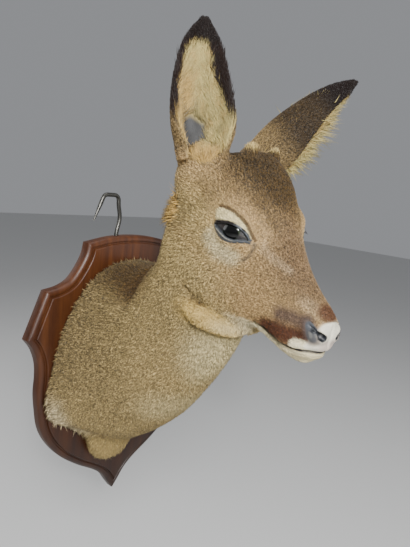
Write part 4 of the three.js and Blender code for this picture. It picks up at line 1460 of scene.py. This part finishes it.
def inset(outline, by):  # each run between corners is offset, trimmed at its ends and spread anew
    n0 = outward(outline - np.roll(outline, 1, 0))
    n1 = outward(np.roll(outline, -1, 0) - outline)
    k = by / (1 + np.sum(n0 * n1, 1))
    mitred = outline + (n0 + n1) * k[:, None]
    ring = mitred.copy()
    half = [c * board["spans"] for c in board["corners"]]
    corners = sorted(set(half + [len(outline) - c for c in half]))
    for first, last in zip(corners, corners[1:] + [corners[0] + len(outline)]):
        i = np.arange(first, last + 1) % len(outline)
        offset = mitred[i]
        offset[0], offset[-1] = outline[i[0]] + n1[i[0]] * by, outline[i[-1]] + n0[i[-1]] * by
        run = alongLine(offset)
        dense = np.linspace(0, run[-1], 1500)
        line = onLine(dense, run, offset)
        start, end = (dense[np.argmin(np.linalg.norm(line - mitred[j], axis=1))] for j in (i[0], i[-1]))
        share = alongLine(outline[i])
        at = start + (end - start) * share / share[-1]
        ring[i[1:-1]] = onLine(at, run, offset)[1:-1]
    return ring


def woodMaterial():
    spec = finishes["wood"]
    material, tree, shader = newMaterial("stainedWood")
    place = objectPlace(tree)
    grain = addNode(tree, "ShaderNodeMapping", Vector=place, Scale=(1.0, 0.6, 0.07), Rotation=(0, 0.04, 0))
    drift = noise(tree, grain.outputs[0], spec["drift"], 3.0, output="Color")
    bent = vectorMaths(tree, "MULTIPLY_ADD", i0=drift, i1=(0.05, 0.05, 0.02), i2=grain.outputs[0])
    bands = noise(tree, bent, spec["bands"], 5.0, 0.6)
    pores = addNode(tree, "ShaderNodeMapping", Vector=place, Scale=(1.0, 1.0, 0.03))
    factor, height = addMottle(tree, pores.outputs[0], *spec["mottle"])
    # painted light and shade: the board darker towards the bottom and lighter towards the top
    level = addNode(tree, "ShaderNodeSeparateXYZ", Vector=place).outputs[2]
    shade = maths(tree, "MULTIPLY", remap(tree, level, *spec["heightShade"]), factor)
    addBump(tree, shader, height, *spec["bump"])
    finishShader(tree, shader, spec, scaledColour(tree, addRamp(tree, bands, spec["stops"]), shade), bands)
    return material


def applied(piece, modifier):
    done = bpy.data.meshes.new_from_object(piece.evaluated_get(bpy.context.evaluated_depsgraph_get()))
    piece.modifiers.remove(modifier)
    piece.data = done
    return done


def boardBlank():
    outline = boardOutline()
    count = len(outline)
    shrink, front = board["shrink"], board["front"]
    rings = [inset(outline, by) for by, _ in board["moulding"]]
    rings = [rings[0] * k for k in shrink[::-1]] + rings + [rings[-1] * k for k in shrink]
    heights = [0] * len(shrink) + [high for _, high in board["moulding"]] + [front] * len(shrink)
    layers = [np.stack([r[:, 0], np.full(count, -high), r[:, 1]], 1) for r, high in zip(rings, heights)]
    points = np.concatenate(layers + [[(0, 0, 0), (0, -front, 0)]])
    faces = []
    for i in range(len(rings) - 1):
        for j in range(count):
            a, b = i * count + j, i * count + (j + 1) % count
            faces.append((a, b, b + count, a + count))
    total = len(rings) * count
    for j in range(count):
        k = (j + 1) % count
        faces += [(k, j, total), (total - count + j, total - count + k, total + 1)]
    mesh = bpy.data.meshes.new("board_wood")
    mesh.from_pydata((points * mm).tolist(), [], faces)
    return mesh


def grooveBlock():
    x, half, deep, foot = board["groove"]
    corner = [(x + sx * half, y, z) for sx in (-1, 1) for y in (-deep, 4) for z in (foot, 160)]
    mesh = bpy.data.meshes.new("grooveCutter")
    mesh.from_pydata([tuple(c * mm for c in p) for p in corner], [],
                     [(0, 1, 3, 2), (4, 6, 7, 5), (0, 4, 5, 1), (2, 3, 7, 6), (0, 2, 6, 4), (1, 5, 7, 3)])
    return mesh


def makeBoard():
    piece, cutter = addObject("board_wood", boardBlank()), addObject("grooveCutter", grooveBlock())
    fixNormals(piece.data)
    fixNormals(cutter.data)
    cut = piece.modifiers.new("groove", "BOOLEAN")
    cut.operation, cut.object, cut.solver = "DIFFERENCE", cutter, "EXACT"
    done = applied(piece, cut)
    bpy.data.objects.remove(cutter)
    done.name = "board_wood"
    done.materials.clear()
    done.materials.append(woodMaterial())
    done.polygons.foreach_set("use_smooth", np.array([len(f.vertices) < 5 for f in done.polygons]))
    done.set_sharp_from_angle(angle=math.radians(board["sharp"]))
    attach(piece, "root")
    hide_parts("board")


def fixNormals(mesh):
    edited = bmesh.new()
    edited.from_mesh(mesh)
    bmesh.ops.recalc_face_normals(edited, faces=edited.faces)
    edited.to_mesh(mesh)
    edited.free()


makeBoard()
print("board done")

wire = {
    "radius": 2.2, "x": -18.0, "y": -3.0, "foot": 118.0, "top": 147.5, "shoulder": 183.0, "bend": 6.0,
    "flat": 9.0, "bow": 3.0, "tip": (-48.2, 162.0), "sides": 20,
    "taper": (0.9, 0.8, 0.68, 0.56, 0.44, 0.32),
    "turns": (0, 90, 158),  # degrees at the bends' ends
}


def steelMaterial():
    spec = finishes["steel"]
    material, tree, shader = newMaterial("steelWire")
    factor, height = addMottle(tree, objectPlace(tree), *spec["mottle"])
    base = addNode(tree, "ShaderNodeRGB")
    base.outputs[0].default_value = (*paint(*spec["colour"]), 1)
    addBump(tree, shader, height, *spec["bump"])
    finishShader(tree, shader, spec, scaledColour(tree, base.outputs[0], factor), height)
    return material


def wireTree(material):  # a round section swept along the piece's own edges, thinner where "taper" says
    tree = bpy.data.node_groups.new("bentWire", "GeometryNodeTree")
    tree.interface.new_socket("Geometry", in_out="INPUT", socket_type="NodeSocketGeometry")
    radius = tree.interface.new_socket("Radius", in_out="INPUT", socket_type="NodeSocketFloat")
    sides = tree.interface.new_socket("Sides", in_out="INPUT", socket_type="NodeSocketInt")
    tree.interface.new_socket("Geometry", in_out="OUTPUT", socket_type="NodeSocketGeometry")
    source, out = tree.nodes.new("NodeGroupInput"), tree.nodes.new("NodeGroupOutput")
    given = source.outputs
    path = addNode(tree, "GeometryNodeMeshToCurve", Mesh=given["Geometry"])
    named = addNode(tree, "GeometryNodeInputNamedAttribute", {"data_type": "FLOAT"}, Name="taper")
    taper = named.outputs[0]
    thick = addNode(tree, "GeometryNodeSetCurveRadius", Curve=path.outputs[0], Radius=taper)
    ring = addNode(tree, "GeometryNodeCurvePrimitiveCircle", Resolution=given["Sides"],
                   Radius=given["Radius"])
    swept = addNode(tree, "GeometryNodeCurveToMesh", Curve=thick.outputs[0],
                    Profile_Curve=ring.outputs["Curve"], Fill_Caps=True)
    if "Scale" in swept.inputs:
        tree.links.new(taper, swept.inputs["Scale"])
    smooth = addNode(tree, "GeometryNodeSetShadeSmooth", Geometry=swept.outputs[0])
    real = addNode(tree, "GeometryNodeRealizeInstances", Geometry=smooth.outputs[0])
    finish = addNode(tree, "GeometryNodeSetMaterial", Geometry=real.outputs[0], Material=material)
    tree.links.new(finish.outputs[0], out.inputs[0])
    return tree, radius.identifier, sides.identifier


def hangerPath():  # up the board's back, over two bends and down to the tip
    x, foot, top, shoulder, bend = (wire[k] for k in ("x", "foot", "top", "shoulder", "bend"))
    path = [(x, foot), (x, (foot + top) / 2), (x, top)]
    for t in np.linspace(0, 1, 17)[1:]:  # the leg bows a little
        path.append((x + wire["bow"] * math.sin(math.pi * t) ** 2, top + (shoulder - top) * t))
    start, upright, end = wire["turns"]
    for middle, first, last in ((x - bend, start, upright), (x - bend - wire["flat"], upright, end)):
        for a in np.radians(np.linspace(first, last, 13))[0 if first else 1:]:
            path.append((middle + bend * math.cos(a), shoulder + bend * math.sin(a)))
    (x0, z0), (x1, z1) = path[-1], wire["tip"]
    return path + [(x0 + (x1 - x0) * t, z0 + (z1 - z0) * t) for t in np.linspace(0, 1, 9)[1:]]


def makeHanger():
    path = hangerPath()
    taper = [1.0] * (len(path) - len(wire["taper"])) + list(wire["taper"])
    mesh = bpy.data.meshes.new("hanger_wire")
    edges = [(i, i + 1) for i in range(len(path) - 1)]
    mesh.from_pydata([(x * mm, wire["y"] * mm, z * mm) for x, z in path], edges, [])
    layer = mesh.attributes.new("taper", "FLOAT", "POINT")
    layer.data.foreach_set("value", np.array(taper, np.float32))
    piece = addObject("hanger_wire", mesh)
    tree, radius, sides = wireTree(steelMaterial())
    bent = piece.modifiers.new("bentWire", "NODES")
    bent.node_group = tree
    bent[radius] = wire["radius"] * mm
    bent[sides] = wire["sides"]
    fixNormals(applied(piece, bent))
    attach(piece, "root")
    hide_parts("hanger")


makeHanger()
print("hanger done")

camera = {
    "azimuth": -48.53, "elevation": 9.354, "roll": 6.1, "distance": 705.13, "target": (133.54, 0, 97.12),
    "lens": 36.197, "sensor": 36,
}


def poseMatrix(right, up, back, place):
    matrix = np.eye(4)
    for column, axis in enumerate((right, up, back, place)):
        matrix[:3, column] = axis
    return Matrix(matrix.tolist())


def placeCamera():
    a, e, r = (math.radians(camera[k]) for k in ("azimuth", "elevation", "roll"))
    back = np.array([math.sin(a) * math.cos(e), -math.cos(a) * math.cos(e), math.sin(e)])
    level = unit(np.cross(-back, [0, 0, 1]))
    top = np.cross(level, -back)
    right = math.cos(r) * level + math.sin(r) * top
    up = -math.sin(r) * level + math.cos(r) * top
    place = (np.array(camera["target"]) + back * camera["distance"]) * mm
    data = bpy.data.cameras.new("camera")
    data.lens, data.sensor_fit = camera["lens"], "AUTO"
    data.sensor_width = data.sensor_height = camera["sensor"]
    data.clip_start = 0.01
    view = addObject("camera", data)
    view.matrix_world = poseMatrix(right, up, back, place)
    bpy.context.scene.camera = view


lights = {  # place, aimed at, width, watts
    "key": ((-0.85, -1.05, 0.75), (-0.02, -0.12, 0.12), 0.45, 26.0),
    "glint": ((-0.50, -0.66, 0.36), (-0.03, -0.15, 0.15), 0.05, 5.0),
    "fill": ((0.9, -1.2, 0.5), (0.0, -0.1, 0.1), 1.4, 6.0),
    "top": ((0.1, -0.2, 1.6), (0.0, -0.1, 0.1), 1.2, 10.0),
    "back": ((-0.5, 1.3, 0.7), (0.0, -0.05, 0.1), 1.4, 8.0),
}


floorShape = {"half": 6, "level": -0.42, "tone": (0.62, 0.62, 0.61, 1), "rough": 0.8}
skylight = {"tone": (0.80, 0.82, 0.86, 1), "strength": 0.35}


def makeStage():
    half, level = floorShape["half"], floorShape["level"]
    floor = bpy.data.meshes.new("floor")
    rim = [(-half, -half, level), (half, -half, level), (half, half, level), (-half, half, level)]
    floor.from_pydata(rim, [], [(0, 1, 2, 3)])
    piece = addObject("floor", floor)
    material, tree, shader = newMaterial("paleFloor")
    plug(tree, shader, {"Base Color": floorShape["tone"], "Roughness": floorShape["rough"]})
    floor.materials.append(material)
    world = bpy.data.worlds.new("studio")
    world.use_nodes = True
    background = world.node_tree.nodes["Background"]
    plug(world.node_tree, background, {"i0": skylight["tone"], "i1": skylight["strength"]})
    bpy.context.scene.world = world
    for name, (place, aim, width, watts) in lights.items():
        data = bpy.data.lights.new(name, "AREA")
        data.shape, data.size, data.energy = "DISK", width, watts
        back = unit(np.array(place) - np.array(aim))
        right = unit(np.cross([0, 0, 1], back))
        addObject(name, data).matrix_world = poseMatrix(right, np.cross(back, right), back, place)


placeCamera()
makeStage()
print("stage done")
